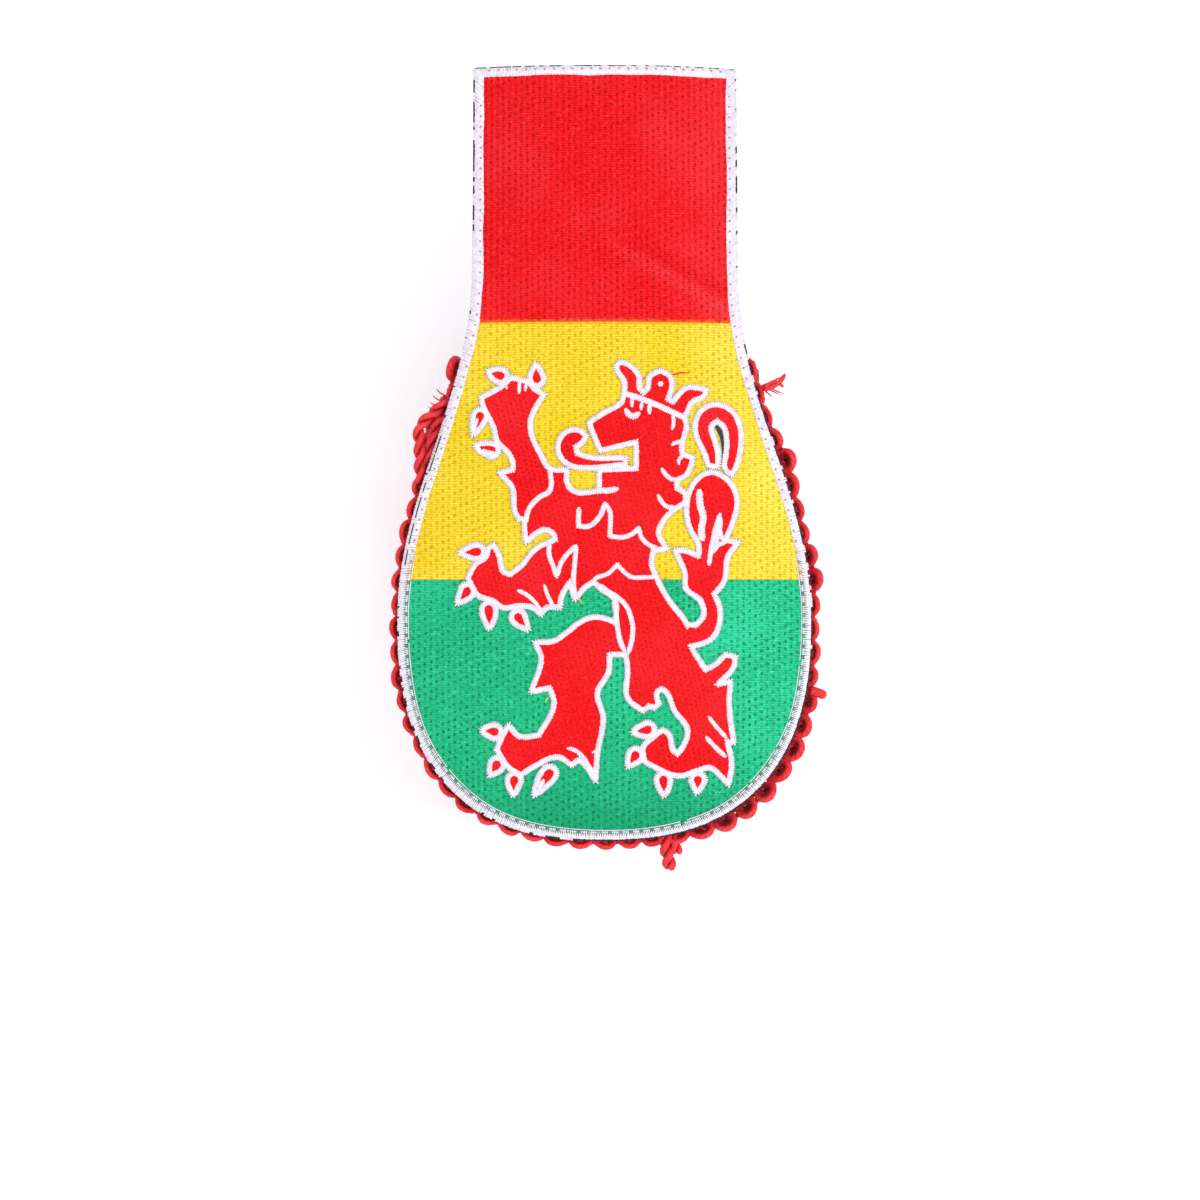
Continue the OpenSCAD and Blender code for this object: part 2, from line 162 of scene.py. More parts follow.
def half_width(y, inset):
    return np.where(y >= 0, side(y, inset), nose(np.minimum(y, 0), inset))


def strapness(y):
    """0 on the pad, 1 from the end of the neck on."""
    return (1 - np.cos(np.pi * np.clip((y - flat_from) / (neck_len - flat_from), 0, 1))) / 2


def lift(x, y):
    """Height of the panel's underside."""
    x, y = np.asarray(x, float), np.asarray(y, float)
    near_round = (np.abs(x) / pad_half) ** roundness + (np.maximum(-y, 0) / round_len) ** roundness
    near = np.where(y >= 0, np.abs(x) / side(y, 0), near_round ** (1 / roundness))
    bow = (pad_drop + (strap_drop - pad_drop) * strapness(y)) * near ** dome_power
    sag = end_sag * np.maximum(0, (y - sag_from) / (strap_end - sag_from)) ** sag_power
    turn = np.where(x > 0, wave_right[0] * y + wave_right[1], wave_left[0] * y + wave_left[1])
    wave = wave_high * strapness(y) * np.sin(np.radians(turn)) * np.minimum(1, near) ** 2
    dent = dent_deep * np.exp(-((x - strap_half) ** 2 + (y - dent_at) ** 2) / (2 * dent_wide ** 2))
    over, up = x - fold_from[0], y - fold_from[1]
    along = over * fold_way[0] + up * fold_way[1]
    off = up * fold_way[0] - over * fold_way[1]
    shown = np.clip(along / fold_rise, 0, 1) * np.clip((fold_len - along) / fold_fade, 0, 1)
    fold = fold_deep * np.exp(-(off / fold_wide) ** 2) * shown
    rolled = np.maximum(0, (x - roll_from) / roll_wide) ** 2
    roll = roll_deep * rolled * np.clip((y - roll_start) / roll_rise, 0, 1)
    return -bow - sag + wave - dent - fold - roll


def new_piece(name, points, faces, material, thread_slot, stands_for=None):
    """A mesh piece from points in mm, which rides with the board."""
    mesh = bpy.data.meshes.new(name)
    mesh.from_pydata((np.asarray(points, float) * MM).tolist(), [], faces)
    mesh.update()
    mesh.shade_smooth()
    piece = bpy.data.objects.new(name, mesh)
    bpy.context.collection.objects.link(piece)
    mesh.materials.append(material)
    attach(piece, "root")
    if stands_for:
        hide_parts(stands_for)
    return piece


def closed_sheet(flat, cells, low, high):
    """Points and faces of a cloth sheet: its cells at two heights over their
    flat places, and walls round its rims."""
    above = len(flat)
    steps = {(cell[k - 1], cell[k]) for cell in cells for k in range(len(cell))}
    faces = [cell[::-1] for cell in cells] + [[k + above for k in cell] for cell in cells]
    faces += [[a, b, b + above, a + above] for a, b in steps if (b, a) not in steps]
    return np.vstack([np.column_stack([flat, low]), np.column_stack([flat, high])]), faces


def domed_sheet(lines, inset, low, high, columns):
    """A cloth sheet over crosswise lines of the panel, between two heights
    above its underside."""
    spread = np.sin(np.linspace(-np.pi / 2, np.pi / 2, columns))
    flat = np.column_stack([np.outer(half_width(lines, inset), spread).ravel(), np.repeat(lines, columns)])
    i, j = np.meshgrid(np.arange(len(lines) - 1), np.arange(columns - 1), indexing="ij")
    a = (i * columns + j).ravel()
    cells = np.column_stack([a, a + 1, a + columns + 1, a + columns]).tolist()
    under = lift(flat[:, 0], flat[:, 1])
    return closed_sheet(flat, cells, under + low, under + high)


def round_lines(inset, count):
    """Crosswise lines of the rounded end, from its rim to the widest line."""
    angle = np.radians(np.linspace(89.7, 0, count))
    return -(round_len - inset) * np.sin(angle) ** (2 / roundness)


def sharpen_rims(piece, angle=50):
    bpy.ops.object.select_all(action="DESELECT")
    piece.select_set(True)
    bpy.context.view_layer.objects.active = piece
    bpy.ops.object.shade_smooth_by_angle(angle=math.radians(angle))


def link(value, socket):
    socket.id_data.links.new(value, socket)


def feed(sockets, values):
    """Sockets linked to values from other nodes, or set to plain ones."""
    for socket, value in zip(sockets, values):
        if isinstance(value, bpy.types.NodeSocket):
            link(value, socket)
        else:
            socket.default_value = value


def reckon(operation, *values):
    """A sum with values, at least one of which comes from a node."""
    from_nodes = [value for value in values if isinstance(value, bpy.types.NodeSocket)]
    node = from_nodes[0].id_data.nodes.new("ShaderNodeMath")
    node.operation = operation
    feed(node.inputs, values)
    return node.outputs[0]


def plus(one, two):
    return reckon("ADD", one, two)


def minus(one, two):
    return reckon("SUBTRACT", one, two)


def times(one, two):
    return reckon("MULTIPLY", one, two)


def ramp(value, low, high, start=0.0, end=1.0):
    """value turned smoothly from start at low to end at high."""
    node = value.id_data.nodes.new("ShaderNodeMapRange")
    node.interpolation_type = "SMOOTHSTEP"
    feed(node.inputs, (value, low, high, start, end))
    return node.outputs[0]


def cloud(place, scale, detail=2.0):
    """Soft patches, finer at a larger scale."""
    node = place.id_data.nodes.new("ShaderNodeTexNoise")
    node.inputs["Scale"].default_value = scale
    node.inputs["Detail"].default_value = detail
    link(place, node.inputs["Vector"])
    return node.outputs["Fac"]


def blend_colour(share, first, second):
    """first where share is 0, second where it is 1."""
    node = share.id_data.nodes.new("ShaderNodeMix")
    node.data_type = "RGBA"
    colours = [(*colour, 1) if isinstance(colour, tuple) else colour for colour in (first, second)]
    feed((node.inputs[0], node.inputs[6], node.inputs[7]), (share, *colours))
    return node.outputs[2]


def paint(shader, colour):
    link(colour, shader.inputs["Base Color"])


def raise_surface(shader, height, distance, strength):
    """Relief that is finer than the mesh."""
    node = shader.id_data.nodes.new("ShaderNodeBump")
    node.inputs["Strength"].default_value = strength
    node.inputs["Distance"].default_value = distance
    link(height, node.inputs["Height"])
    link(node.outputs[0], shader.inputs["Normal"])


black_felt, shader, place = new_material("black_felt")
fluff = cloud(place, 1400, 4)
paint(shader, blend_colour(ramp(fluff, 0.35, 0.7), (0.010, 0.011, 0.017), (0.045, 0.048, 0.066)))
give_finish(shader, {"Roughness": 0.95, "Sheen Weight": 0.25, "Sheen Roughness": 0.5})
raise_surface(shader, plus(fluff, cloud(place, 160)), 0.0005, 0.7)

backing_lines = np.concatenate([round_lines(0, 60), np.linspace(0, strap_end, 80)[1:]])
backing = new_piece(
    "backing_felt", *domed_sheet(backing_lines, 0, 0, felt_thick, 61), black_felt, "backing_cloth", "backing"
)
sharpen_rims(backing)

# The embroidered face: three bands of polyester thread in fill stitch, with the rows running across
# the board. Each row is a chain of flat stitches, and its needle holes step sideways from row to
# row, so they stand in columns.
cloth_gap, face_thick = 0.15, 1.2
face_low = felt_thick + cloth_gap
face_top = face_low + face_thick
face_inset, strap_inset, narrower_over = 1.4, 2.5, 14
band_low, band_high, band_seam = 10.3, 76.7, 0.04
needle_step = 1.55
# How strongly the threads of two bands mix at their seam, and how raggedly.
seam_mixed, seam_ragged = 0.85, 1.6
# The fold's lit and dim stripes: where each starts, is strongest and ends, off the fold's line, and
# its strength. They set in over a stretch along the strap's width.
fold_lit, fold_dim, fold_soft = (-6, -1.6, 1.2, 0.38), (-0.6, 1.6, 5, 0.26), 16


def split(vector):
    """The X, Y and Z of a vector."""
    node = vector.id_data.nodes.new("ShaderNodeSeparateXYZ")
    link(vector, node.inputs[0])
    return tuple(node.outputs)


def own_chance(*numbers):
    """A chance value from 0 to 1 for each pair of whole numbers."""
    tree = numbers[0].id_data
    pair = tree.nodes.new("ShaderNodeCombineXYZ")
    feed(pair.inputs, numbers)
    dice = tree.nodes.new("ShaderNodeTexWhiteNoise")
    dice.noise_dimensions = "2D"
    link(pair.outputs[0], dice.inputs["Vector"])
    return dice.outputs["Value"]


def stripe(off_fold, start, strongest, end, strength):
    return times(ramp(off_fold, start, strongest), ramp(off_fold, strongest, end, strength, 0.0))


def fill_stitch(name, thread, shade, gleam, row_high=0.65, repeat=3, step=needle_step, turn=0.0,
                holes=1.0, depth=0.55, streaks=0.15, columns=0.12, speckle=0.15, glance=0.3,
                fall_off=0.0, mixed=None, folded=False):
    """Rows of flat stitches, each repeat steps long. The needle holes move by
    one step from row to row, and they, the furrows between the columns and the
    grooves between the rows are darkened with painted shade. Painted sheen lies
    on the threads in patches and on single stitches. The right side glances in
    the light, and the round end may fall off into shade. The threads of two
    bands may mix at their seam, and the strap's fold has a lit and a dim stripe."""
    material, shader, place = new_material(name)
    in_mm = place.id_data.nodes.new("ShaderNodeMapping")
    in_mm.inputs["Scale"].default_value = (1 / MM, 1 / MM, 1 / MM)
    in_mm.inputs["Rotation"].default_value = (0, 0, math.radians(turn))
    link(place, in_mm.inputs["Vector"])
    x, y, _ = split(in_mm.outputs[0])
    across = plus(x, times(minus(cloud(place, 420), 0.5), 0.9))
    along = plus(y, times(minus(cloud(place, 55), 0.5), 1.4))

    rows = reckon("DIVIDE", along, row_high)
    row = reckon("FLOOR", rows)
    off_middle = reckon("ABSOLUTE", reckon("MULTIPLY_ADD", reckon("FRACT", rows), 2.0, -1.0))
    ridge = minus(1.0, times(off_middle, off_middle))
    row_start = times(reckon("FLOORED_MODULO", row, float(repeat)), step)
    stitch = reckon("FLOOR", reckon("DIVIDE", minus(across, row_start), repeat * step))
    column = reckon("ROUND", reckon("DIVIDE", across, step))
    off_column = minus(across, times(column, step))
    up_column = minus(minus(rows, column), 0.5)
    in_column = reckon("ROUND", reckon("DIVIDE", up_column, float(repeat)))
    off_hole = times(minus(up_column, times(in_column, float(repeat))), row_high)
    from_hole = reckon("SQRT", plus(times(off_column, off_column), times(off_hole, off_hole)))
    of_stitch = own_chance(row, stitch)

    # Painted shade: the needle holes, the furrows between the columns and the grooves between the rows darken
    # the thread; the holes take the shade colour times depth.
    hole = ramp(from_hole, 0.10, 0.56, 1.0, 0.0)
    hole = times(hole, ramp(own_chance(column, in_column), 0.0, 0.7, 0.45, 1.0))
    hole = times(hole, ramp(cloud(place, 70), 0.35, 0.65, 0.7, 1.0))
    furrow = ramp(reckon("ABSOLUTE", off_column), 0.10, 0.50, columns, 0.0)
    slack = ramp(cloud(place, 1500, 1), 0.40, 0.66, 0.0, 0.50)
    groove = times(ramp(off_middle, 0.2, 1.0, 0.35, 1.0), slack)
    # Painted sheen: in broad soft patches the thread turns towards its gleam colour.
    sheen_patches = ramp(cloud(place, 45), 0.35, 0.75, 0.0, 0.35)
    specks = cloud(place, 1300, 1)
    # Painted glints: single stitches turn towards the gleam colour on the crown of their row, and light
    # specks add to them.
    streak = times(ramp(of_stitch, 0.0, 0.35, streaks, 0.0), ridge)
    streak = plus(streak, ramp(specks, 0.52, 0.72, 0.0, 2 * speckle))
    glancing = ramp(x, 10, 46, 0.0, glance)
    darker = plus(furrow, reckon("MAXIMUM", groove, times(of_stitch, 0.12)))
    darker = plus(darker, ramp(specks, 0.28, 0.48, 2 * speckle, 0.0))
    darker = plus(darker, ramp(y, -62, -28, fall_off, 0.0))
    if folded:
        over, up = minus(x, float(fold_from[0])), minus(y, float(fold_from[1]))
        off_fold = reckon("MULTIPLY_ADD", up, fold_way[0], times(over, -fold_way[1]))
        on_fold = ramp(over, 0, fold_soft)
        glancing = reckon("MULTIPLY_ADD", on_fold, stripe(off_fold, *fold_lit), glancing)
        darker = reckon("MULTIPLY_ADD", on_fold, stripe(off_fold, *fold_dim), darker)

    lit = blend_colour(plus(glancing, reckon("MAXIMUM", sheen_patches, streak)), thread, gleam)
    shaded = blend_colour(darker, lit, shade)
    if mixed:
        ragged = reckon("MULTIPLY_ADD", cloud(place, 1100, 1), seam_ragged, y)
        off_seam = reckon("ABSOLUTE", minus(ragged, band_high + seam_ragged / 2))
        shaded = blend_colour(ramp(off_seam, 0.15, 0.85, seam_mixed, 0.0), shaded, mixed)
    paint(shader, blend_colour(times(hole, holes), shaded, tuple(c * depth for c in shade)))
    give_finish(shader, {
        "Roughness": 0.40, "Specular IOR Level": 0.8, "Specular Tint": (*gleam, 1), "Anisotropic": 0.55,
    })
    fibres = times(cloud(place, 2600, 3), 0.35)
    raise_surface(shader, plus(minus(ridge, times(hole, 1.2 * holes)), fibres), 0.00014, 0.8)
    return material


red_fill = fill_stitch(
    "red_fill_stitch", (0.84, 0.008, 0.010), (0.50, 0.002, 0.004), (1.0, 0.06, 0.075),
    holes=0.85, columns=0.30, speckle=0.2, glance=0.4, mixed=(0.88, 0.12, 0.010), folded=True,
)
yellow_fill = fill_stitch(
    "yellow_fill_stitch", (0.85, 0.60, 0.015), (0.50, 0.29, 0.005), (1.0, 0.86, 0.14),
    holes=0.85, depth=0.8, speckle=0.10, mixed=(0.88, 0.26, 0.012),
)
green_fill = fill_stitch(
    "green_fill_stitch", (0.014, 0.42, 0.18), (0.006, 0.23, 0.09), (0.06, 0.80, 0.46),
    depth=0.45, speckle=0.22, glance=0.2, fall_off=0.6,
)


def band(name, lines, material, thread_slot, node):
    """A band of the face, which on the strap ends further from the rim."""
    inset = face_inset + (strap_inset - face_inset) * np.clip((lines - band_low) / narrower_over, 0, 1)
    piece = new_piece(name, *domed_sheet(lines, inset, face_low, face_top, 81), material, thread_slot, node)
    sharpen_rims(piece)


green_lines = np.concatenate([round_lines(face_inset, 70), np.linspace(0, band_low - band_seam, 10)[1:]])
yellow_lines = np.linspace(band_low + band_seam, band_high - band_seam, 60)
red_lines = np.linspace(band_high + band_seam, strap_end - strap_inset, 60)
band("green_band", green_lines, green_fill, "green_thread", "field_green")
band("yellow_band", yellow_lines, yellow_fill, "yellow_thread", "field_yellow")
band("red_band", red_lines, red_fill, "red_thread", "field_red")

# The edging: white thread in satin stitch over the cut edge, each stitch running in from the rim. It
# covers some stretches of the felt's edge and leaves others bare, and round the pad it thins out
# towards its inner side.
chance = np.random.default_rng(7)
edging_wide = 3
satin_pitch = 0.46
satin_half, satin_fine, satin_high = 0.27, 0.13, 0.15
thin_from, thin_over = 1.35, 0.45
wrapped_start, bare_start = 0.02, 0.50
stitch_end, pad_shorter, end_varies = 2.95, 0.2, 0.35
stitch_slant = 0.10
stitch_keys = (0, 0.12, 0.3, 0.5, 0.66, 0.82, 1)
# The height of the edging's surface at some distances from the rim.
edge_insets = (-0.1, 0.3, 0.7, 1.2, 1.9, 2.4, 3.1)
edge_heights = (1.55, 1.95, 2.5, 2.95, 2.92, 2.72, 2.60)
# Share of the way round the outline, from the strap's right corner by way of
# the pad to the left corner, and there the share of the felt that stays bare.
bare_at = (0, 0.14, 0.17, 0.30, 0.36, 0.50, 0.55, 0.68, 0.72, 0.84, 0.88, 0.95, 1)
bare_share = (0.35, 0.2, 0.75, 0.7, 0.9, 1, 0.25, 0.3, 0.15, 0.15, 0.25, 0.5, 0.6)
# The neck's height above which the pad's kind of stitching has ended, and how far it fades below.
pad_top, pad_fade = 24, 14


def soft_step(t):
    """0 to 1 while t goes from 0 to 1, with a soft start and end."""
    t = np.clip(t, 0, 1)
    return t * t * (3 - 2 * t)


def pad_share(y):
    """1 round the pad's lower part, 0 from the neck up."""
    return soft_step((pad_top - y) / pad_fade)


def unit(ways):
    return ways / np.linalg.norm(ways, axis=-1, keepdims=True)


def level_left(ways):
    """Level directions to the left of the ways."""
    return unit(np.column_stack([-ways[:, 1], ways[:, 0], np.zeros(len(ways))]))


def run_along(points):
    """The run length at each point of a line."""
    return np.concatenate([[0], np.cumsum(np.linalg.norm(np.diff(points, axis=0), axis=1))])


def points_at(wanted, run, points):
    return np.column_stack([np.interp(wanted, run, points[:, k]) for k in range(points.shape[1])])


def spaced(points, pitch):
    """Points at an even pitch along a line, and the run length of each."""
    run = run_along(points)
    wanted = np.linspace(0, run[-1], max(2, int(round(run[-1] / pitch)) + 1))
    return points_at(wanted, run, points), wanted


def rim_line(inset, top, steps):
    """The outline from the right side at the height top round the pad to the
    left side there."""
    up = np.linspace(0, top - inset, steps)
    angle = np.linspace(0, np.pi, 361)[1:-1]
    across = np.cos(angle)
    round_x = (pad_half - inset) * np.sign(across) * np.abs(across) ** (2 / roundness)
    round_y = -(round_len - inset) * np.sin(angle) ** (2 / roundness)
    return np.vstack([
        np.column_stack([side(up, inset), up])[::-1],
        np.column_stack([round_x, round_y]),
        np.column_stack([-side(up, inset), up]),
    ])


outer_line, middle_line, inner_line = (
    rim_line(inset, strap_end, 260) for inset in (0, edging_wide / 2, edging_wide)
)
middle_run = run_along(middle_line)


def at_rim(run, inset):
    """Points at a distance inside the outline, by their run along it."""
    share = np.broadcast_to(inset, np.shape(run))[:, None] / edging_wide
    outer = points_at(run, middle_run, outer_line)
    inner = points_at(run, middle_run, inner_line)
    return outer * (1 - share) + inner * share


def on_edging(flat, inset, above=0.0):
    """The points at the height of the edging's surface."""
    height = lift(flat[:, 0], flat[:, 1]) + np.interp(inset, edge_insets, edge_heights) + above
    return np.column_stack([flat, height])


def uneven(run, length):
    """A chance value from 0 to 1 that changes slowly along a run."""
    knots = np.arange(run.min() - length, run.max() + 2 * length, length)
    return np.interp(run, knots, chance.random(len(knots)))


def satin(paths, along, thick, high, sides=5):
    """Flat threads laid side by side. paths is one row of points for each
    thread, in mm, and along the level direction in which they lie apart."""
    threads, steps, _ = paths.shape
    angle = np.linspace(0, 2 * np.pi, sides, endpoint=False)
    wide = np.broadcast_to(thick, (threads, steps))[:, :, None, None]
    level = along[:, None, None, :] * np.cos(angle)[None, None, :, None]
    upright = np.array([0, 0, 1.0]) * np.sin(angle)[None, None, :, None]
    points = paths[:, :, None, :] + level * wide + upright * np.minimum(high, wide)
    k, j = np.meshgrid(np.arange(steps - 1), np.arange(sides), indexing="ij")
    a, b = (k * sides + j).ravel(), (k * sides + (j + 1) % sides).ravel()
    walls = np.column_stack([a, b, b + sides, a + sides])
    first = np.arange(threads)[:, None, None] * steps * sides
    ends = np.vstack([np.arange(sides)[::-1], (steps - 1) * sides + np.arange(sides)])
    faces = (walls[None] + first).reshape(-1, 4).tolist()
    faces += (ends[None] + first).reshape(-1, sides).tolist()
    return points.reshape(-1, 3), faces


def merge(*meshes):
    points, faces, start = [], [], 0
    for own_points, own_faces in meshes:
        points.append(own_points)
        faces += [[k + start for k in face] for face in own_faces]
        start += len(own_points)
    return np.vstack(points), faces


white_satin, shader, place = new_material("white_satin_thread")
paint(shader, blend_colour(ramp(cloud(place, 700, 3), 0.3, 0.7), (0.74, 0.69, 0.79), (0.87, 0.83, 0.90)))
give_finish(shader, {"Roughness": 0.4, "Sheen Weight": 0.3})
raise_surface(shader, cloud(place, 5200, 2), 0.00006, 0.5)


def edging_run(run, line_at, share_round):
    """Satin stitches along one edge, given the points for a run and inset."""
    count = len(run)
    bare = uneven(run, 1.3) < np.interp(share_round, bare_at, bare_share)
    start = np.where(bare, bare_start, wrapped_start) + chance.uniform(-0.08, 0.08, count)
    padness = pad_share(line_at(run, np.full(count, edging_wide / 2))[:, 1])
    end = stitch_end - pad_shorter * padness + end_varies * (1 - padness) * (uneven(run, 6) - 0.6)
    end = end + chance.uniform(-0.05, 0.05, count)
    slant = stitch_slant + chance.uniform(-0.05, 0.05, count)
    rows, thick = [], []
    for key in stitch_keys:
        inset = start + (end - start) * key
        rows.append(on_edging(line_at(run + slant * (key - 0.5) * 2, inset), inset))
        thinning = padness * np.clip((inset - thin_from) / thin_over, 0, 1)
        thick.append(satin_half + (satin_fine - satin_half) * thinning)
    return np.stack(rows, axis=1), np.stack(thick, axis=1)


def across_end(run, inset):
    return np.column_stack([np.clip(run, -corner, corner), strap_end - np.asarray(inset)])


side_run = spaced(middle_line, satin_pitch)[1]
side_run = side_run + chance.uniform(-0.05, 0.05, len(side_run))
around, around_thick = edging_run(side_run, at_rim, side_run / middle_run[-1])
onward = unit(at_rim(side_run + 0.4, edging_wide / 2) - at_rim(side_run - 0.4, edging_wide / 2))
corner = float(side(strap_end, wrapped_start))
end_run = np.arange(-corner, corner, satin_pitch)
over_end, over_thick = edging_run(end_run, across_end, np.ones(len(end_run)))
new_piece(
    "edging_satin",
    *merge(
        satin(around, np.column_stack([onward, np.zeros(len(onward))]), around_thick, satin_high),
        satin(over_end, np.tile([1.0, 0, 0], (len(end_run), 1)), over_thick, satin_high),
    ),
    white_satin, "white_thread", "edging",
)

# The lock stitching: thin white machine stitches, sunk into the edging, that hold the layers
# together, with a needle hole between one and the next. Round the pad a single white thread runs
# along the edging's inner side, and on the left the felt looks through between the stitches.
lock_pitch, lock_gap, lock_half, lock_margin = 2.76, 0.55, 0.11, 3
lock_in_pad, lock_in_strap, lock_in_end = 2.45, 2.1, 1.3
lock_heights = (-0.25, 0.1, 0.16, 0.16, 0.1, -0.25)
needle_half, needle_half_pad = 0.30, 0.48
runner_half, runner_inset, runner_above = 0.13, 3.02, 0.08
gap_inset, gap_half, gap_from, gap_to = 0.95, 0.17, 14, 47


def thread_spans(path, shown, half):
    """Short round threads along the shown spans of a path."""
    ways = level_left(np.gradient(path, axis=0))
    spans = np.stack([path[:-1], path[1:]], axis=1)
    return satin(spans[shown], ways[:-1][shown], half, half, 6)


lock_starts = lock_margin + np.arange(int((middle_run[-1] - 2 * lock_margin) / lock_pitch)) * lock_pitch
lock_padness = pad_share(at_rim(lock_starts, edging_wide / 2)[:, 1])
lock_insets = lock_in_pad * lock_padness + lock_in_strap * (1 - lock_padness)
lock_keys = np.linspace(lock_gap / 2, lock_pitch - lock_gap / 2, len(lock_heights))
lock_paths = np.stack([
    on_edging(at_rim(lock_starts + key, lock_insets), lock_insets, height)
    for key, height in zip(lock_keys, lock_heights)
], axis=1)

runner_run = spaced(middle_line, 0.9)[1]
runner_run = runner_run[pad_share(at_rim(runner_run, edging_wide / 2)[:, 1]) > 0.4]
runner_insets = runner_inset + 0.08 * np.sin(runner_run * 0.21)
runner_path = on_edging(at_rim(runner_run, runner_insets), runner_insets, runner_above)
new_piece(
    "lock_stitching",
    *merge(
        satin(lock_paths, level_left(lock_paths[:, -1] - lock_paths[:, 0]), lock_half, lock_half, 6),
        thread_spans(runner_path, uneven(runner_run[:-1], 4) > 0.15, runner_half),
    ),
    white_satin, "white_thread",
)

gap_run = spaced(middle_line, 0.5)[1]
gap_path = on_edging(at_rim(gap_run, gap_inset), np.full(len(gap_run), gap_inset), satin_high)
gap_shown = (gap_path[:, 0] < 0) & (gap_path[:, 1] > gap_from) & (gap_path[:, 1] < gap_to)
gap_shown &= uneven(gap_run, 1.8) > 0.4
new_piece(
    "felt_between_stitches", *thread_spans(gap_path, gap_shown[:-1], gap_half), black_felt, "backing_cloth"
)

# A needle hole shows the face's thread under it, green, yellow or red, darkened with painted shade in
# the hole, and in soft patches it turns pale grey.
needle_dark, shader, place = new_material("needle_hole_shadow")
_, y, _ = split(place)
on_pad = blend_colour(ramp(y, band_low * MM, (band_low + 1) * MM), (0.09, 0.24, 0.17), (0.45, 0.31, 0.08))
under = blend_colour(ramp(y, band_high * MM, (band_high + 1) * MM), on_pad, (0.62, 0.20, 0.25))
paint(shader, blend_colour(ramp(cloud(place, 300), 0.48, 0.78), under, (0.70, 0.68, 0.66)))
give_finish(shader, {"Roughness": 1.0})


def needle_dots(middles, halves, sides=8, half_high=0.06, rim_share=0.3):
    """Low round lenses at the given places, which read as needle holes."""
    angle = np.linspace(0, 2 * np.pi, sides, endpoint=False)
    ring = np.column_stack([np.cos(angle), np.sin(angle), np.zeros(sides)])
    points, faces = [], []
    for middle, half in zip(middles, halves):
        first = len(points) * sides
        for spread, height in ((rim_share, -half_high), (1.0, 0.0), (rim_share, half_high)):
            points.append(middle + ring * half * spread + [0, 0, height])
        for level in (first, first + sides):
            for j in range(sides):
                a, b = level + j, level + (j + 1) % sides
                faces.append([a, b, b + sides, a + sides])
        faces.append([first + j for j in range(sides)][::-1])
        faces.append([first + 2 * sides + j for j in range(sides)])
    return np.vstack(points), faces


along_end = np.arange(-30, 31, 2.4)
end_insets = np.full(len(along_end), lock_in_end)
needle_places = np.vstack([
    on_edging(at_rim(lock_starts, lock_insets), lock_insets, satin_high),
    on_edging(np.column_stack([along_end, strap_end - end_insets]), end_insets, satin_high),
])
needle_halves = needle_half + (needle_half_pad - needle_half) * pad_share(needle_places[:, 1])
new_piece("needle_holes", *needle_dots(needle_places, needle_halves), needle_dark, "white_thread")

# The lion: red fill stitch laid over the bands, slightly raised, with shorter and flatter stitches
# than theirs. Its outline is the frame's own, with the shallow corners rounded, and it is draped
# smoothly over the dome.
lion_stitch = fill_stitch(
    "lion_fill_stitch", (0.84, 0.008, 0.010), (0.50, 0.002, 0.004), (1.0, 0.05, 0.06),
    row_high=0.62, repeat=2, step=1.25, turn=-14, holes=0.5, streaks=0.1, columns=0.05, glance=0.1,
)
lion_lift, lion_high = 0.05, 0.42
straight_turn, sharp_turn = 1.5, 58
line_step, drape_step = 0.35, 3.0
lion_mesh = bmesh.new()
lion_mesh.from_mesh(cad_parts["lion"].data)
bmesh.ops.remove_doubles(lion_mesh, verts=lion_mesh.verts, dist=1e-6)
lion_mesh.normal_update()


def is_top(face):
    return face.normal.z > 0.5


def is_wall(face):
    return abs(face.normal.z) < 0.2


flat_place = {v.index: (v.co.x / MM, v.co.y / MM) for v in lion_mesh.verts}
neighbours = {}
for edge in lion_mesh.edges:
    if len(edge.link_faces) == 2:
        one, two = edge.link_faces
        if (is_top(one) and is_wall(two)) or (is_top(two) and is_wall(one)):
            a, b = edge.verts
            neighbours.setdefault(a.index, set()).add(b.index)
            neighbours.setdefault(b.index, set()).add(a.index)
lion_mesh.free()

lion_loops = []
unused = set(neighbours)
while unused:
    loop = [min(unused)]
    unused.discard(loop[0])
    while ways := [n for n in neighbours[loop[-1]] if n in unused]:
        loop.append(ways[0])
        unused.discard(ways[0])
    if len(loop) > 4:
        lion_loops.append(np.array([flat_place[i] for i in loop]))


def turning(one, two):
    """Angle between two directions in the plane, in degrees."""
    return abs(math.degrees(math.atan2(one[0] * two[1] - one[1] * two[0], one @ two)))


def drop_straight(points):
    """A closed line without the corners that hardly turn."""
    count = len(points)
    return np.array([
        here for i, here in enumerate(points)
        if turning(here - points[i - 1], points[(i + 1) % count] - here) > straight_turn
    ])


def flowing(points, closed):
    """A line through the points that curves at shallow corners and keeps the
    sharp ones."""
    count = len(points)
    slopes_in, slopes_out = [], []
    for i, here in enumerate(points):
        into, onward = here - points[i - 1], points[(i + 1) % count] - here
        at_end = not closed and i in (0, count - 1)
        if not at_end and turning(into, onward) <= sharp_turn:
            mean = unit(unit(into) + unit(onward))
            into, onward = mean * np.linalg.norm(into), mean * np.linalg.norm(onward)
        slopes_in.append(into)
        slopes_out.append(onward)
    curve = []
    for i in range(count if closed else count - 1):
        here, there = points[i], points[(i + 1) % count]
        leave, arrive = slopes_out[i], slopes_in[(i + 1) % count]
        parts = max(2, int(np.linalg.norm(there - here) / line_step))
        for t in np.arange(parts) / parts:
            curve.append(
                here * (2 * t ** 3 - 3 * t ** 2 + 1) + leave * (t ** 3 - 2 * t ** 2 + t)
                + there * (3 * t ** 2 - 2 * t ** 3) + arrive * (t ** 3 - t ** 2)
            )
    curve.append(points[0] if closed else points[-1])
    return np.array(curve)


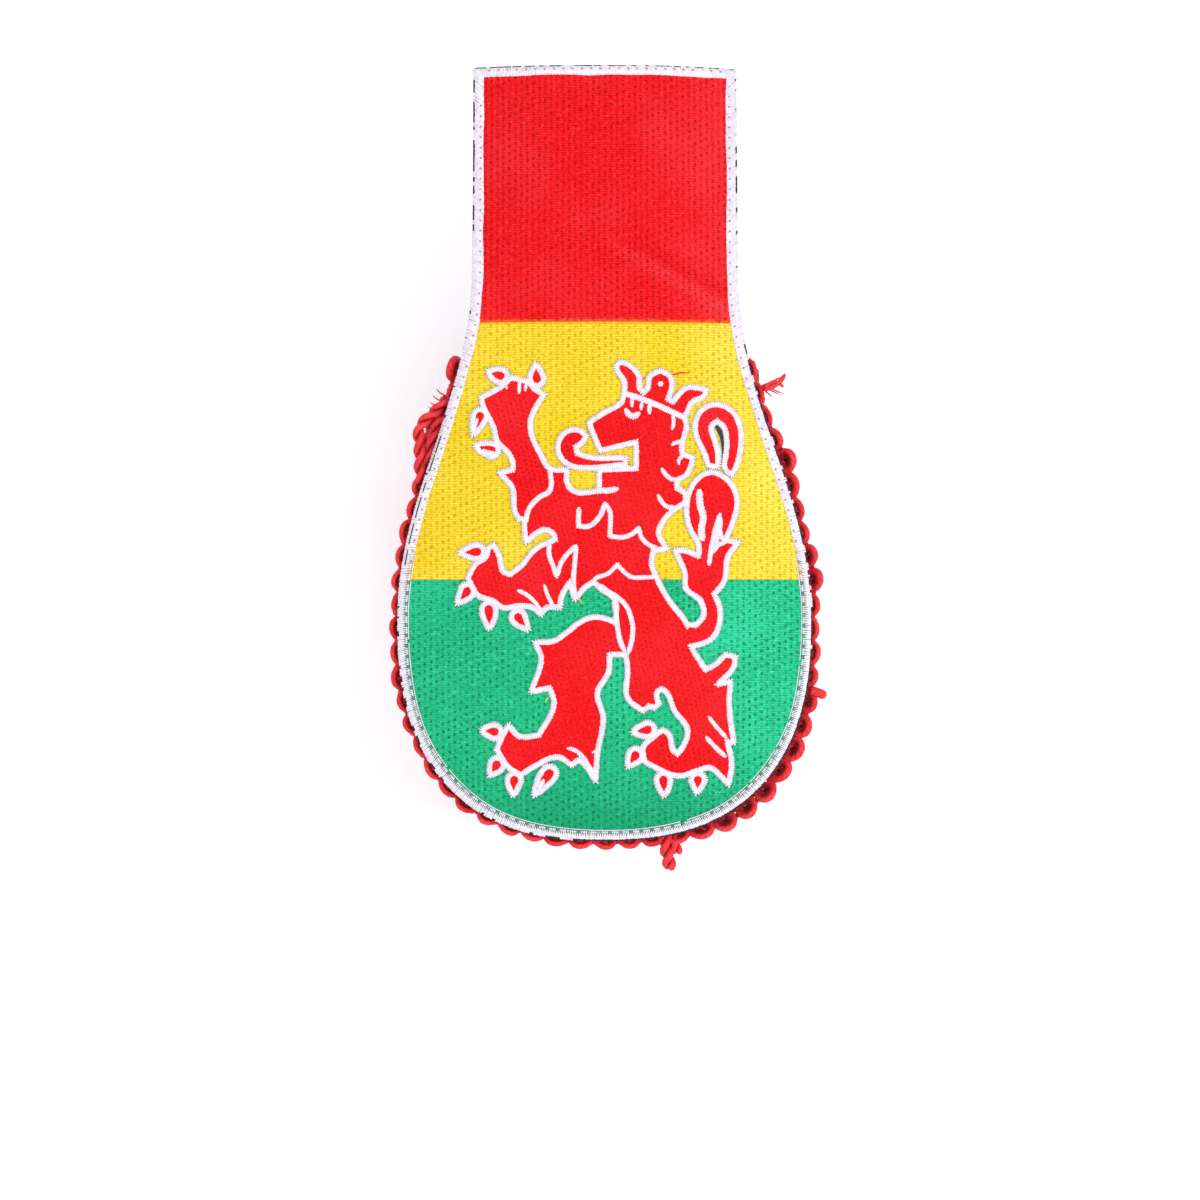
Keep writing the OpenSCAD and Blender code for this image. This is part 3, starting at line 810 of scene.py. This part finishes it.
# The fill: triangles between the lines, with points inside that let it follow the dome.
lion_lines = [flowing(drop_straight(loop), True) for loop in lion_loops]
corners, rims = [], []
for line in lion_lines:
    first, count = len(corners), len(line) - 1
    corners += [tuple(point) for point in line[:-1]]
    rims += [(first + k, first + (k + 1) % count) for k in range(count)]
corners += [(x, y) for x in np.arange(-36, 36, drape_step) for y in np.arange(-45, 66, drape_step)]
places, _, cells, *_ = delaunay_2d_cdt([Vector(corner) for corner in corners], rims, [], 2, 1e-4)
used = sorted({k for cell in cells for k in cell})
renumbered = {k: new for new, k in enumerate(used)}
cells = [[renumbered[k] for k in cell] for cell in cells]
lion_flat = np.array([places[k] for k in used])
lion_low = lift(lion_flat[:, 0], lion_flat[:, 1]) + face_top + lion_lift
lion_fill = new_piece(
    "lion_fill", *closed_sheet(lion_flat, cells, lion_low, lion_low + lion_high),
    lion_stitch, "red_thread", "lion",
)
sharpen_rims(lion_fill)

# The lion's outline and inner lines: white thread in narrow satin stitch, each stitch across the
# line, padded in the middle. The stitches' ends make a fine serration, and the inner lines run out
# to a point.
line_wide, line_half, line_high = 1.66, 0.27, 0.16
line_above = 0.25
# The padded height of a stitch at places across the line, from one side, -1, to the other, 1.
line_arch = ((-1, -0.12), (-0.72, 0.30), (0, 0.50), (0.72, 0.30), (1, -0.12))
# Each inner line: its width and the points it passes.
inner_lines = (
    (1.6, [(-14.2, 39), (-14.2, 33.2), (-17, 31.4), (-19.6, 28.4), (-20.4, 25)]),
    (1.8, [(-1.5, 33.2), (1, 33.2), (3.2, 33.6)]),
    (1.6, [(-6.7, 28.7), (-6.9, 24.1), (-4.2, 24), (-1.4, 26.5), (0, 30)]),
    (1.5, [(0, 30), (1.3, 27.6), (1.3, 24), (1.2, 21.5), (4.5, 21.2), (7.2, 22.2), (8.7, 23.8)]),
    (1.4, [(8.8, 23.6), (9.2, 21.4), (11, 19.4), (13.4, 18.4)]),
    (1.5, [(-14.2, 19.6), (-14.4, 17), (-13.2, 13.5), (-12.4, 10.9)]),
    (1.5, [(-12.4, 11.1), (-11.2, 14.8), (-9.2, 17.4), (-7.4, 19.1)]),
    (1.5, [(-7.4, 19), (-7.8, 14.5), (-8.1, 11), (-7.8, 6)]),
    (1.4, [(-3, 10.2), (-1.8, 11), (0.6, 11.8), (3.2, 14.2), (4.4, 12.8), (6.8, 11), (10, 10.9), (12.6, 11)]),
    (1.5, [(-1.4, 9), (0.6, 7.4), (3, 6), (5.4, 3.6), (6.6, 0.8), (7.1, -1.8), (6.9, -5), (5.9, -8.6)]),
    (1.6, [(2.3, 5), (2.8, 1.5), (3.2, -2), (3.9, -5.5), (5, -8)]),
    (1.4, [(14.6, 38.8), (15.6, 37.2), (17.5, 36), (19, 36)]),
    (1.4, [(13.6, 32), (14.6, 30.2), (16, 29), (18, 28.9)]),
    (1.2, [(17.4, 52.6), (17.6, 50.4), (17.2, 49)]),
    (1.3, [(20, 46), (18, 45.4), (17.2, 45)]),
    (1.2, [(20, 42.2), (18.9, 41), (18.9, 40)]),
    (1.8, [(5.2, 58), (8.5, 57), (12.5, 55.5), (16.5, 53.7), (20.2, 52)]),
    (1.8, [(5.3, 54), (6.1, 52.6), (7.4, 52.2), (8.8, 53)]),
    (1.2, [(6.9, 57), (6.9, 54.8)]),
    (1.2, [(9.4, 55.8), (9.2, 54)]),
    (1.4, [(11.4, 55.3), (11.4, 53)]),
    (2.0, [(13.9, 60.8), (14.2, 60.6), (14.6, 60.4)]),
    (1.2, [(-22, 61.3), (-22.1, 58.3)]),
    (1.1, [(-25.8, 61), (-25.3, 59.5)]),
    (1.1, [(-20.3, 60.6), (-20.5, 58.9)]),
    (1.3, [(-32.9, 51.6), (-33.5, 50.2), (-33.8, 48.7)]),
    (1.7, [(-31.8, 43.5), (-30, 42.9), (-28.2, 42.7)]),
    (1.4, [(-15.8, -41.3), (-16.6, -42.6), (-17.3, -43.9)]),
    (1.5, [(28.9, 40.5), (28.8, 43.4), (27.9, 46.6), (27.4, 49)]),
    (2.1, [(24.2, 33.3), (24.4, 29.5), (25.2, 26.5), (24.7, 23), (25, 20.5)]),
    (1.5, [(29.6, 27.2), (28.4, 23.5), (27.4, 19), (26.7, 14.2)]),
    (1.4, [(27.6, 17.2), (29, 19.2), (31, 19.9)]),
    (1.4, [(29.8, 26), (29.6, 22.5), (30.3, 20.4)]),
    (1.6, [(29.2, 25.5), (28.9, 22), (28.2, 18)]),
    (1.3, [(-22.3, 7.6), (-19.5, 6), (-17.3, 3.6), (-16.2, 1.8)]),
    (1.2, [(-15.6, 8.9), (-14.6, 6), (-13.4, 3.8)]),
    (1.3, [(26.7, -25), (28.7, -27.6), (31.2, -30.3)]),
    (1.4, [(26, -30.2), (28.4, -32.8), (31, -35.2)]),
    (1.3, [(-9.6, -33), (-8, -33.4), (-6, -34.9), (-4, -37.8), (-2.6, -40.5)]),
    (1.0, [(-3.2, -34), (-1.8, -33.7)]),
)


def satin_line(line, closed, wide):
    """Satin stitches across a line, a little wider where it turns. An open
    line narrows to its ends."""
    middles, _ = spaced(line, satin_pitch)
    if closed:
        middles = middles[:-1]
    count = len(middles)
    order = np.arange(count)

    def beside(k):
        return np.roll(middles, -k, axis=0) if closed else middles[np.clip(order + k, 0, count - 1)]

    ahead = beside(2) - beside(-2)
    ahead /= np.maximum(np.linalg.norm(ahead, axis=1), 1e-6)[:, None]
    left = np.column_stack([-ahead[:, 1], ahead[:, 0]])
    one, two = middles - beside(-1), beside(1) - middles
    turn = np.abs(np.arctan2(one[:, 0] * two[:, 1] - one[:, 1] * two[:, 0], (one * two).sum(axis=1)))
    half = wide / 2 * (1 + chance.uniform(-0.07, 0.07, count) + 0.1 * np.minimum(turn, 1.6))
    if not closed:
        to_end = np.minimum(order, order[::-1]) * satin_pitch
        half = half * np.clip(0.6 + 0.6 * to_end, 0, 1)
    shift = chance.uniform(-0.04, 0.04, count)
    slant = chance.uniform(-0.02, 0.06, count)
    rows = []
    for key, height in line_arch:
        flat = middles + left * (half * key + shift)[:, None] + ahead * (slant * key)[:, None]
        rows.append(np.column_stack([flat, lift(flat[:, 0], flat[:, 1]) + face_top + line_above + height]))
    return satin(np.stack(rows, axis=1), np.column_stack([ahead, np.zeros(count)]), line_half, line_high, 4)


lion_threads = [satin_line(line, True, line_wide) for line in lion_lines]
for wide, points in inner_lines:
    lion_threads.append(satin_line(flowing(np.array(points, float), False), False, wide))
new_piece("lion_outline_satin", *merge(*lion_threads), white_satin, "white_thread")

# The fringe: one twisted crimson cord, laid in long loops side by side. Each loop stands proud at
# the rim, its legs run down through a heading that is held by woven thread, and below it they wind
# round each other.
cord_count, cord_r = 51, 2.75
fringe_drop, fringe_from, heading_high = 71, 68, 11
rim_gap = 2 * cloth_gap
# The cords hang in clumps, lean, bend, hook and end in a curl, each to its own measure.
clump, clump_start = 5.3, 0.35
lean_most, lean_varies, bend_most, hook_most, length_varies = 4.0, 2.8, 0.9, 2.4, 3
curl_from, curl_mean, curl_varies = 0.72, 3.4, (2.4, 0.8)
step_in, step_out, step_varies = 3.8, 0.6, 0.3
# The two strands: half thickness, distance from the cord's middle and how far they are flattened.
strand_r, strand_half, strand_flat = 1.42, 1.28, 0.80
turn_len, turn_varies, steps_a_turn = 11.2, 0.06, 12
twist_from, twist_soft = 9.0, 4
leg_falls, leg_end = (3.6, 5.2, 6.8), 8.4
# The loops: half length along the rim, and how far they stand proud of it,
# their depth and half thickness, which are larger at the lower right. Where
# the fringe's ends are turned out, at the necks, each loop has its own three.
loop_along, loop_along_varies, loop_leans = 2.1, 0.12, 0.4
loop_proud, loop_prouder, proud_varies = 2.45, 2.0, (0.22, 0.16)
loop_deep, loop_deeper = 1.30, 0.30
loop_half, loop_fatter = 0.92, 0.26
fatter_from, fatter_over = (8, -12), (28, 20)
loop_below, loop_rise, loop_dips, loop_heart_below = 2.9, 1.5, 0.15, 2.2
left_neck = (
    (3.5, 0.6, 1.35), (1.6, 1.0, 0.70), (2.2, 1.0, 0.80),
    (3.0, 1.3, 0.95), (3.6, 1.3, 0.95), (2.8, 1.3, 0.95),
)
right_neck = (
    (1.8, 1.1, 0.75), (1.9, 1.1, 0.80), (2.0, 1.1, 0.85), (2.9, 1.2, 1.10), (4.6, 1.5, 1.25),
    (3.3, 1.2, 1.15), (2.6, 1.3, 0.95), (2.4, 1.3, 0.95), (3.4, 1.4, 1.20), (3.9, 1.5, 1.25),
)
# Shade in the hollows between the strands, inside the loops and near the rim, where it sets in above
# a height. Painted shade makes the hanging cords a darker crimson than the lit heading, and it changes
# between two heights.
hollow_from, hollow_over, loop_shade = -0.25, 0.70, 0.8
rim_shade, rim_shade_low, rim_shade_over = 0.25, -13, 3
lower_to, bright_from = -12.0, -8.8

fringe_line = rim_line(0, fringe_from, 81)[::-1]
fringe_run = run_along(fringe_line)
rim_len = fringe_run[-1]
cord_pitch = rim_len / cord_count


def rim_at(run):
    return points_at(run, fringe_run, fringe_line)


def rim_ways(run):
    """Directions along the rim and inwards from it."""
    ahead = unit(rim_at(run + 1.5) - rim_at(run - 1.5))
    return ahead, np.column_stack([-ahead[:, 1], ahead[:, 0]])


def own_share(i, step, start=0):
    """A value from -1 to 1 for number i. Each step, in degrees, gives another
    row of values."""
    return math.sin(math.radians(step * i + start))


def cord_middle(i, fall):
    """Middle of cord i, fall mm below the top of the heading, and its length."""
    at = np.array([cord_pitch * (i + 0.5)])
    place = rim_at(at)
    ahead, inward = rim_ways(at)
    length = fringe_drop - length_varies * (1 - 0.6 * own_share(i, 73) - 0.4 * own_share(i, 131, 40))
    down = np.clip((fall - heading_high) / (length - heading_high), 0, 1.1)
    lean = lean_most * (1 - 2 * ((i / clump + clump_start) % 1)) + lean_varies * own_share(i, 7, 200)
    curl = curl_mean + curl_varies[0] * own_share(i, 47, 30) + curl_varies[1] * own_share(i, 151)
    shift = lean * down ** 1.4 + bend_most * own_share(i, 97, 50) * np.sin(2 * np.pi * down)
    shift += hook_most * own_share(i, 31, 60) * down ** 4
    shift += curl * (np.maximum(0, down - curl_from) / (1 - curl_from)) ** 2
    inwards = (-step_out if i % 2 == 0 else step_in) + step_varies * np.sin(np.radians(41 * i + 200 * down))
    inwards = inwards * np.minimum(1, 4 * down)
    flat = place + ahead * shift[:, None] + inward * inwards[:, None]
    return np.column_stack([flat, float(lift(*place[0])) - rim_gap - fall]), length


def tube(points, thick, sides, closed=False):
    """A thread along points: its mesh points, faces, and for each face corner
    the place round the thread and the run along it, in mm."""
    ahead = np.roll(points, -1, axis=0) - np.roll(points, 1, axis=0)
    if not closed:
        ahead[0], ahead[-1] = points[1] - points[0], points[-1] - points[-2]
    ahead = unit(ahead)
    across = np.zeros_like(points)
    guide = np.array([0.0, 0, 1]) if abs(ahead[0][2]) < 0.9 else np.array([1.0, 0, 0])
    for k, way in enumerate(ahead):
        guide = unit(guide - way * (guide @ way))
        across[k] = guide
    count = len(points)
    twist = np.zeros(count)
    if closed:
        last = across[-1] - ahead[0] * (across[-1] @ ahead[0])
        over = np.cross(ahead[0], across[0])
        twist = -math.atan2(last @ over, last @ across[0]) * np.arange(count) / count
    up = np.cross(ahead, across)
    turn = np.linspace(0, 2 * np.pi, sides, endpoint=False)[None, :] + twist[:, None]
    ring = across[:, None] * np.cos(turn)[..., None] + up[:, None] * np.sin(turn)[..., None]
    radius = np.broadcast_to(np.asarray(thick, float), (count,))[:, None, None]
    run = run_along(points)
    if closed:
        run = np.append(run, run[-1] + np.linalg.norm(points[0] - points[-1]))
    k, j = np.meshgrid(np.arange(count if closed else count - 1), np.arange(sides), indexing="ij")
    k, j = k.ravel(), j.ravel()
    k2, j2 = (k + 1) % count, (j + 1) % sides
    faces = np.column_stack([k * sides + j, k * sides + j2, k2 * sides + j2, k2 * sides + j]).tolist()
    round_place = np.column_stack([j, j + 1, j + 1, j]) / sides
    along = np.column_stack([run[k], run[k], run[k + 1], run[k + 1]])
    corners = np.stack([round_place, along], axis=-1).reshape(-1, 2)
    if not closed:
        faces += [list(range(sides))[::-1], [(count - 1) * sides + j for j in range(sides)]]
        corners = np.vstack([corners, np.zeros((2 * sides, 2))])
    return (points[:, None] + ring * radius).reshape(-1, 3), faces, corners


def thread_piece(name, tubes, material, thread_slot, stands_for=None, hollows=()):
    """Tubes as one piece. Hollows give the share of shade at each point, and
    near the rim the threads' sides and undersides are shaded too."""
    points, faces = merge(*[(own_points, own_faces) for own_points, own_faces, _ in tubes])
    piece = new_piece(name, points, faces, material, thread_slot, stands_for)
    layer = piece.data.uv_layers.new(name="thread")
    layer.data.foreach_set("uv", np.vstack([corners for *_, corners in tubes]).astype(np.float32).ravel())
    if hollows:
        facing_up = np.clip([vertex.normal.z for vertex in piece.data.vertices], 0, 1)
        near_rim = np.clip((points[:, 2] - rim_shade_low) / rim_shade_over, 0, 1)
        shades = np.maximum(np.concatenate(hollows), rim_shade * (1 - facing_up) * near_rim)
        layer = piece.data.attributes.new("hollow", "FLOAT", "POINT")
        layer.data.foreach_set("value", shades.astype(np.float32))


def hollow_share(points, path, hearts, strength):
    """How far each point of a tube lies on the side turned to the heart that
    the tube winds round, from 0 to its strength there."""
    inwards = unit(hearts - path)
    out = points.reshape(len(path), -1, 3) - path[:, None]
    share = (out * inwards[:, None]).sum(axis=2) / np.linalg.norm(out, axis=2)
    return (soft_step((share - hollow_from) / hollow_over) * strength[:, None]).ravel()


def narrowed(points, path, hearts, share):
    """The tube's points drawn in to a share of their distance across the line
    to the heart, which leaves deeper valleys between the turns."""
    ahead = np.roll(path, -1, axis=0) - np.roll(path, 1, axis=0)
    across = unit(np.cross(ahead, hearts - path))
    out = points.reshape(len(path), -1, 3) - path[:, None]
    out -= (1 - share) * (out * across[:, None]).sum(axis=2)[..., None] * across[:, None]
    return (path[:, None] + out).reshape(-1, 3)


def twisted_thread(name, colour, deep, bright, lower, plies, slope):
    """Silky thread whose plies wind round it, from its own UV map, with painted shade
    in the grooves between the plies. Painted shade gives it the colour lower where
    it hangs below the lit heading, and it is in shade in the hollows of a cord."""
    material, shader, place = new_material(name)
    uv = place.id_data.nodes.new("ShaderNodeUVMap")
    uv.uv_map = "thread"
    round_thread, along_thread, _ = split(uv.outputs[0])
    winding = plus(times(round_thread, float(plies)), times(along_thread, slope))
    ply = reckon("ABSOLUTE", reckon("SINE", times(winding, math.pi)))
    fuzz = cloud(place, 1500, 3)
    # Painted shade: the thread darkens towards deep in the grooves between its plies.
    shade = ramp(reckon("MULTIPLY_ADD", fuzz, 0.35, ply), 0.15, 0.50, 0.6, 0.0)
    base = blend_colour(ramp(cloud(place, 120), 0.3, 0.7), colour, bright)
    # Painted shade: below a height, where the cords hang under the heading, the thread takes the darker
    # colour lower.
    base = blend_colour(ramp(split(place)[2], lower_to * MM, bright_from * MM), lower, base)
    hollow = place.id_data.nodes.new("ShaderNodeAttribute")
    hollow.attribute_name = "hollow"
    inner = tuple(c * 0.25 for c in deep)
    paint(shader, blend_colour(hollow.outputs["Fac"], blend_colour(shade, base, deep), inner))
    give_finish(shader, {
        "Roughness": 0.42, "Specular IOR Level": 0.3, "Specular Tint": (1.0, 0.35, 0.40, 1),
        "Sheen Weight": 0.08, "Sheen Tint": (1.0, 0.35, 0.40, 1), "Sheen Roughness": 0.4,
    })
    raise_surface(shader, reckon("MULTIPLY_ADD", fuzz, 0.4, ply), 0.00012, 0.6)
    return material


def loop_size(i, place):
    """Proudness, depth and half thickness of loop i."""
    if i < len(left_neck):
        return left_neck[i]
    if cord_count - 1 - i < len(right_neck):
        return right_neck[cord_count - 1 - i]
    to_right = np.clip((place[0] - fatter_from[0]) / fatter_over[0], 0, 1)
    to_front = np.clip((fatter_from[1] - place[1]) / fatter_over[1], 0, 1)
    fat = float(soft_step(to_right * to_front))
    proud = loop_proud + loop_prouder * fat
    proud += proud_varies[0] * own_share(i, 61, 10) + proud_varies[1] * own_share(i, 173)
    return proud, loop_deep + loop_deeper * fat, loop_half + loop_fatter * fat


def cord(i):
    """Cord i, one strand laid double: its tube, how far each point lies in a
    hollow, and how far the middle of its loop lies out from the rim."""
    at = np.array([cord_pitch * (i + 0.5)])
    place, (ahead, inward) = rim_at(at)[0], rim_ways(at)
    along_rim, into_rim = np.array([*ahead[0], 0]), np.array([*inward[0], 0])
    end_fall = cord_middle(i, np.array([0.0]))[1] - cord_r
    falls = np.concatenate([leg_falls, np.arange(leg_end, end_fall, turn_len / steps_a_turn), [end_fall]])
    middle = cord_middle(i, falls)[0]
    started = np.clip((falls - twist_from) / twist_soft, 0, 1)
    wound = np.maximum(0, falls - twist_from) - twist_soft / 2 * started * (1 - started)
    angle = 2 * np.pi * wound / turn_len * (1 + turn_varies * own_share(i, 53))
    half = cord_pitch / 4 + (strand_half - cord_pitch / 4) * started
    way = unit(np.gradient(middle, axis=0))
    east = unit(along_rim - way * (way @ along_rim)[:, None])
    north = np.cross(east, way)
    north *= np.sign(north @ into_rim)[:, None]
    out = (np.cos(angle)[:, None] * east + np.sin(angle)[:, None] * north) * half[:, None]
    bend = np.linspace(0, np.pi, 8)[1:-1]
    tip = middle[-1] - np.cos(bend)[:, None] * out[-1] + np.sin(bend)[:, None] * way[-1] * half[-1]

    proud, deep, half_thick = loop_size(i, place)
    loop_middle = proud - deep - half_thick
    top = np.array([*place, float(lift(*place)) - rim_gap])
    sweep = np.linspace(-0.12, 1.12, 13) * np.pi
    wide = np.cos(sweep) * loop_along * (1 + loop_along_varies * own_share(i, 67))
    wide = wide + np.sin(sweep) * loop_leans * own_share(i, 89)
    outward = loop_middle + np.sin(sweep) * deep
    below = loop_below - loop_rise * np.clip(np.sin(sweep), 0, 1) + loop_dips * own_share(i, 97)
    loop = top + wide[:, None] * along_rim - outward[:, None] * into_rim - below[:, None] * [0, 0, 1.0]
    loop_heart = top - loop_middle * into_rim - [0, 0, loop_heart_below]

    path = np.vstack([middle - out, tip, (middle + out)[::-1], loop])
    thick = np.concatenate([
        np.full(2 * len(middle) + len(tip), strand_r),
        strand_r + (half_thick - strand_r) * np.clip(2 * np.sin(sweep), 0, 1),
    ])
    hearts = np.vstack([
        middle, np.tile(middle[-1], (len(tip), 1)), middle[::-1], np.tile(loop_heart, (len(loop), 1)),
    ])
    strength = np.concatenate([started, np.ones(len(tip)), started[::-1], np.full(len(loop), loop_shade)])
    points, faces, corners = tube(path, thick, 8, closed=True)
    points = narrowed(points, path, hearts, strand_flat)
    return (points, faces, corners), hollow_share(points, path, hearts, strength), loop_middle


crimson_cord = twisted_thread(
    "crimson_cord", (0.76, 0.030, 0.038), (0.18, 0.003, 0.007), (0.92, 0.055, 0.065), (0.42, 0.011, 0.022),
    plies=3, slope=0.70,
)
cords, cord_hollows, loop_middles = zip(*[cord(i) for i in range(cord_count)])
thread_piece("fringe_cords", cords, crimson_cord, "crimson_cord", "fringe", cord_hollows)

# The heading's weft: crimson threads that run in and out between the legs of the cords, row under
# row, and hold them side by side. Two straight threads above them fill the space up to the felt,
# and one runs through the loops.
weft_half, weft_swing, weft_margin, weft_waver = 0.72, 1.25, 0.6, 0.12
# Each row: its fall below the rim, its swing and how far inwards it lies.
weft_rows = (
    (0.66, 0.0, 0.5), (2.1, 0.0, 0.6), (3.8, weft_swing, 0.0),
    (5.2, -weft_swing, 0.0), (6.6, weft_swing, 0.0), (8.0, -weft_swing, 0.0),
)
through_fall, through_out, through_shade = 4.4, 0.3, 0.7
weft_run = np.arange(weft_margin, rim_len - weft_margin, cord_pitch / 8)
weft_place, weft_inward = rim_at(weft_run), rim_ways(weft_run)[1]


def weft_thread(fall, inset):
    flat = weft_place + weft_inward * inset[:, None]
    waver = weft_waver * np.sin(weft_run * 1.7 + fall)
    height = lift(weft_place[:, 0], weft_place[:, 1]) - rim_gap - fall - waver
    return tube(np.column_stack([flat, height]), weft_half, 6)


in_and_out = np.cos(2 * np.pi * (weft_run / cord_pitch - 0.25))
weft = [weft_thread(fall, inset + weave * in_and_out) for fall, weave, inset in weft_rows]
through_loops = np.interp(weft_run, cord_pitch * (np.arange(cord_count) + 0.5), loop_middles)
weft.append(weft_thread(through_fall, -through_out - through_loops))
weft_shades = [0.0] * len(weft_rows) + [through_shade]
weft_hollows = [np.full(len(thread[0]), shade) for thread, shade in zip(weft, weft_shades)]
thread_piece("heading_weft", weft, crimson_cord, "crimson_cord", hollows=weft_hollows)

# Loose ends: cords that lie along the rim where the fringe begins at the left neck, cord ends that
# look out from under the rim, a burst of frayed threads at the right neck and thinner hairs at the
# left one.
# Of a laid cord's half thickness, its strands lie a share apart and are a share thick.
laid_apart, laid_thick, laid_end = 0.49, 0.51, 0.5
laid_shade, laid_rounds = 0.5, 8
# Each laid cord: its half thickness, the length of its turns and its way. Two lie along the left
# neck, over a filling cord, and two stick out at the round end.
laid_cords = (
    (1.65, 8.5, (
        (-41.0, 57.5, -5.8), (-43.0, 54.8, -5.2), (-46.4, 52.0, -4.6), (-48.6, 49.6, -4.6),
        (-48.0, 44.6, -5.0), (-48.2, 41.0, -5.4), (-47.9, 35.4, -6.8),
    )),
    (1.60, 10, (
        (-41.2, 53.5, -6.4), (-43.8, 50.4, -6.0), (-45.4, 45.0, -6.2), (-46.2, 40.8, -6.6),
        (-47.0, 35.0, -7.8),
    )),
    (2.10, 10, ((-41.4, 54.5, -9.0), (-45.4, 50.0, -8.6), (-46.4, 44.0, -8.8), (-46.9, 38.0, -9.6))),
    (1.95, 6.5, ((14.6, -54, -8.4), (15.6, -58.0, -8.6), (16.4, -61.6, -8.8), (16.9, -65.2, -9.6))),
    (1.55, 6.5, ((16.4, -54, -8.2), (17.6, -57.4, -8.2), (18.7, -59.6, -8.4), (18.9, -61.4, -9.2))),
)
# Each stub: its half thickness and its way.
stubs = (
    (1.25, ((53.6, -18.4, -7.4), (55.4, -19.0, -7.2), (56.4, -19.4, -7.2), (57.4, -20.0, -7.4))),
    (0.60, ((41.4, 59.6, -5.4), (44.0, 60.6, -4.4), (45.6, 61.8, -3.8), (46.6, 63.6, -3.6))),
    (0.45, ((41.4, 60.4, -5.2), (43.6, 61.8, -4.4), (45.0, 61.4, -4.0), (46.2, 60.2, -3.8))),
)
# The frayed threads fan out from one root, each to its own tip.
fray_half, fray_tip = 0.20, 0.4
fray_root, fray_below, hair_below = (40.2, 60.6), 1.2, 1.5
fray_tips = (
    (46.4, 63.4), (46.0, 62.9), (45.2, 62.9), (45.4, 62.3),
    (44.2, 62.2), (46.6, 58.6), (45.6, 58.4), (43.6, 57.8),
)
hairs = (
    ((-41.0, 58.0), (-42.8, 58.8), (-43.8, 60.0)),
    ((-41.6, 56.5), (-43.6, 57.2), (-44.8, 58.2)),
    ((-42.0, 55.5), (-43.8, 55.6), (-45.6, 56.4)),
    ((-42.4, 54.5), (-44.6, 54.6), (-46.0, 55.2)),
)


def eased(curve, rounds):
    """The curve with its corners eased and its ends kept."""
    for _ in range(rounds):
        curve[1:-1] = (curve[:-2] + 2 * curve[1:-1] + curve[2:]) / 4
    return curve


def loose_thread(points, half, sides, tip_share=1.0):
    """A thread through the points that thins towards its end, which is round."""
    points = np.array(points, float)
    run = run_along(points)
    curve = eased(points_at(np.linspace(0, run[-1], 12), run, points), 1)
    thick = half * (1 - (1 - tip_share) * np.linspace(0, 1, len(curve)) ** 4)
    thick[-2:] *= (0.85, 0.45)
    return tube(curve, thick, sides)


def laid_cord(points, half, turn_length):
    """Two strands twisted together along the points: their tubes and how far
    each point lies in the hollow between them."""
    points = np.array(points, float)
    run = run_along(points)
    steps = np.arange(0, run[-1], turn_length / steps_a_turn)
    curve = eased(points_at(steps, run, points), laid_rounds)
    way = np.gradient(curve, axis=0)
    level = level_left(way)
    over = unit(np.cross(way, level))
    angle = 2 * np.pi * steps / turn_length
    out = (np.cos(angle)[:, None] * level + np.sin(angle)[:, None] * over) * half * laid_apart
    thick = np.full(len(curve), half * laid_thick)
    thick[[0, -1]] *= laid_end
    paths = (curve + out, curve - out)
    tubes = [tube(path, thick, 8) for path in paths]
    strength = np.full(len(curve), laid_shade)
    return tubes, [hollow_share(strand[0], path, curve, strength) for strand, path in zip(tubes, paths)]


loose, loose_hollows = [], []
for half, turn_length, way in laid_cords:
    tubes, hollows = laid_cord(way, half, turn_length)
    loose += tubes
    loose_hollows += hollows
loose += [loose_thread(way, half, 8) for half, way in stubs]
root_x, root_y = fray_root
root_z = float(lift(*fray_root)) - fray_below
for k, (x, y) in enumerate(fray_tips):
    bent = (0.45 * x + 0.55 * root_x, 0.35 * y + 0.65 * root_y + 0.25 * own_share(k, 90), root_z + 0.4)
    end = (x, y, root_z + 0.5 * own_share(k, 70))
    loose.append(loose_thread([(root_x, root_y, root_z), bent, end], fray_half, 4, fray_tip))
for hair in hairs:
    hair_z = float(lift(*hair[0])) - hair_below
    loose.append(loose_thread([(x, y, hair_z) for x, y in hair], fray_half, 4, fray_tip))
loose_hollows += [np.zeros(len(points)) for points, *_ in loose[len(loose_hollows):]]
thread_piece("loose_cord_ends", loose, crimson_cord, "crimson_cord", hollows=loose_hollows)

# Bits of thread left on the face: short ends of red and yellow that were not trimmed. With them
# comes the felt that looks through the gap in the upper tail loop.
bit_above, gap_above = 0.12, 0.02
tail_gap = ((28.3, 50.4), (29.2, 49.0), (30.0, 47.2), (30.3, 45.2), (30.4, 43.2), (30.1, 41.2))
tail_gap_halves = (0.30, 0.62, 0.55, 0.42, 0.30, 0.12)


def on_face(points, above):
    points = np.array(points, float)
    return np.column_stack([points, lift(points[:, 0], points[:, 1]) + face_top + above])


def thread_bits(name, lines, half, material, thread_slot):
    bits = [loose_thread(on_face(line, bit_above), half, 6, 0.5) for line in lines]
    thread_piece(name, bits, material, thread_slot)


red_bits = (((17.4, 63), (19.4, 63.5), (21.7, 63.5)), ((9.8, 62), (10.4, 62.1)))
yellow_bits = (((-6.6, 5.6), (-5.9, 4)), ((-15.4, -21), (-14.5, -19.9)))
thread_bits("red_thread_bits", red_bits, 0.18, lion_stitch, "red_thread")
thread_bits("yellow_thread_bits", yellow_bits, 0.22, yellow_fill, "yellow_thread")
gap_tube = tube(on_face(tail_gap, gap_above), tail_gap_halves, 8)
thread_piece("felt_in_tail_loop", [gap_tube], black_felt, "backing_cloth")
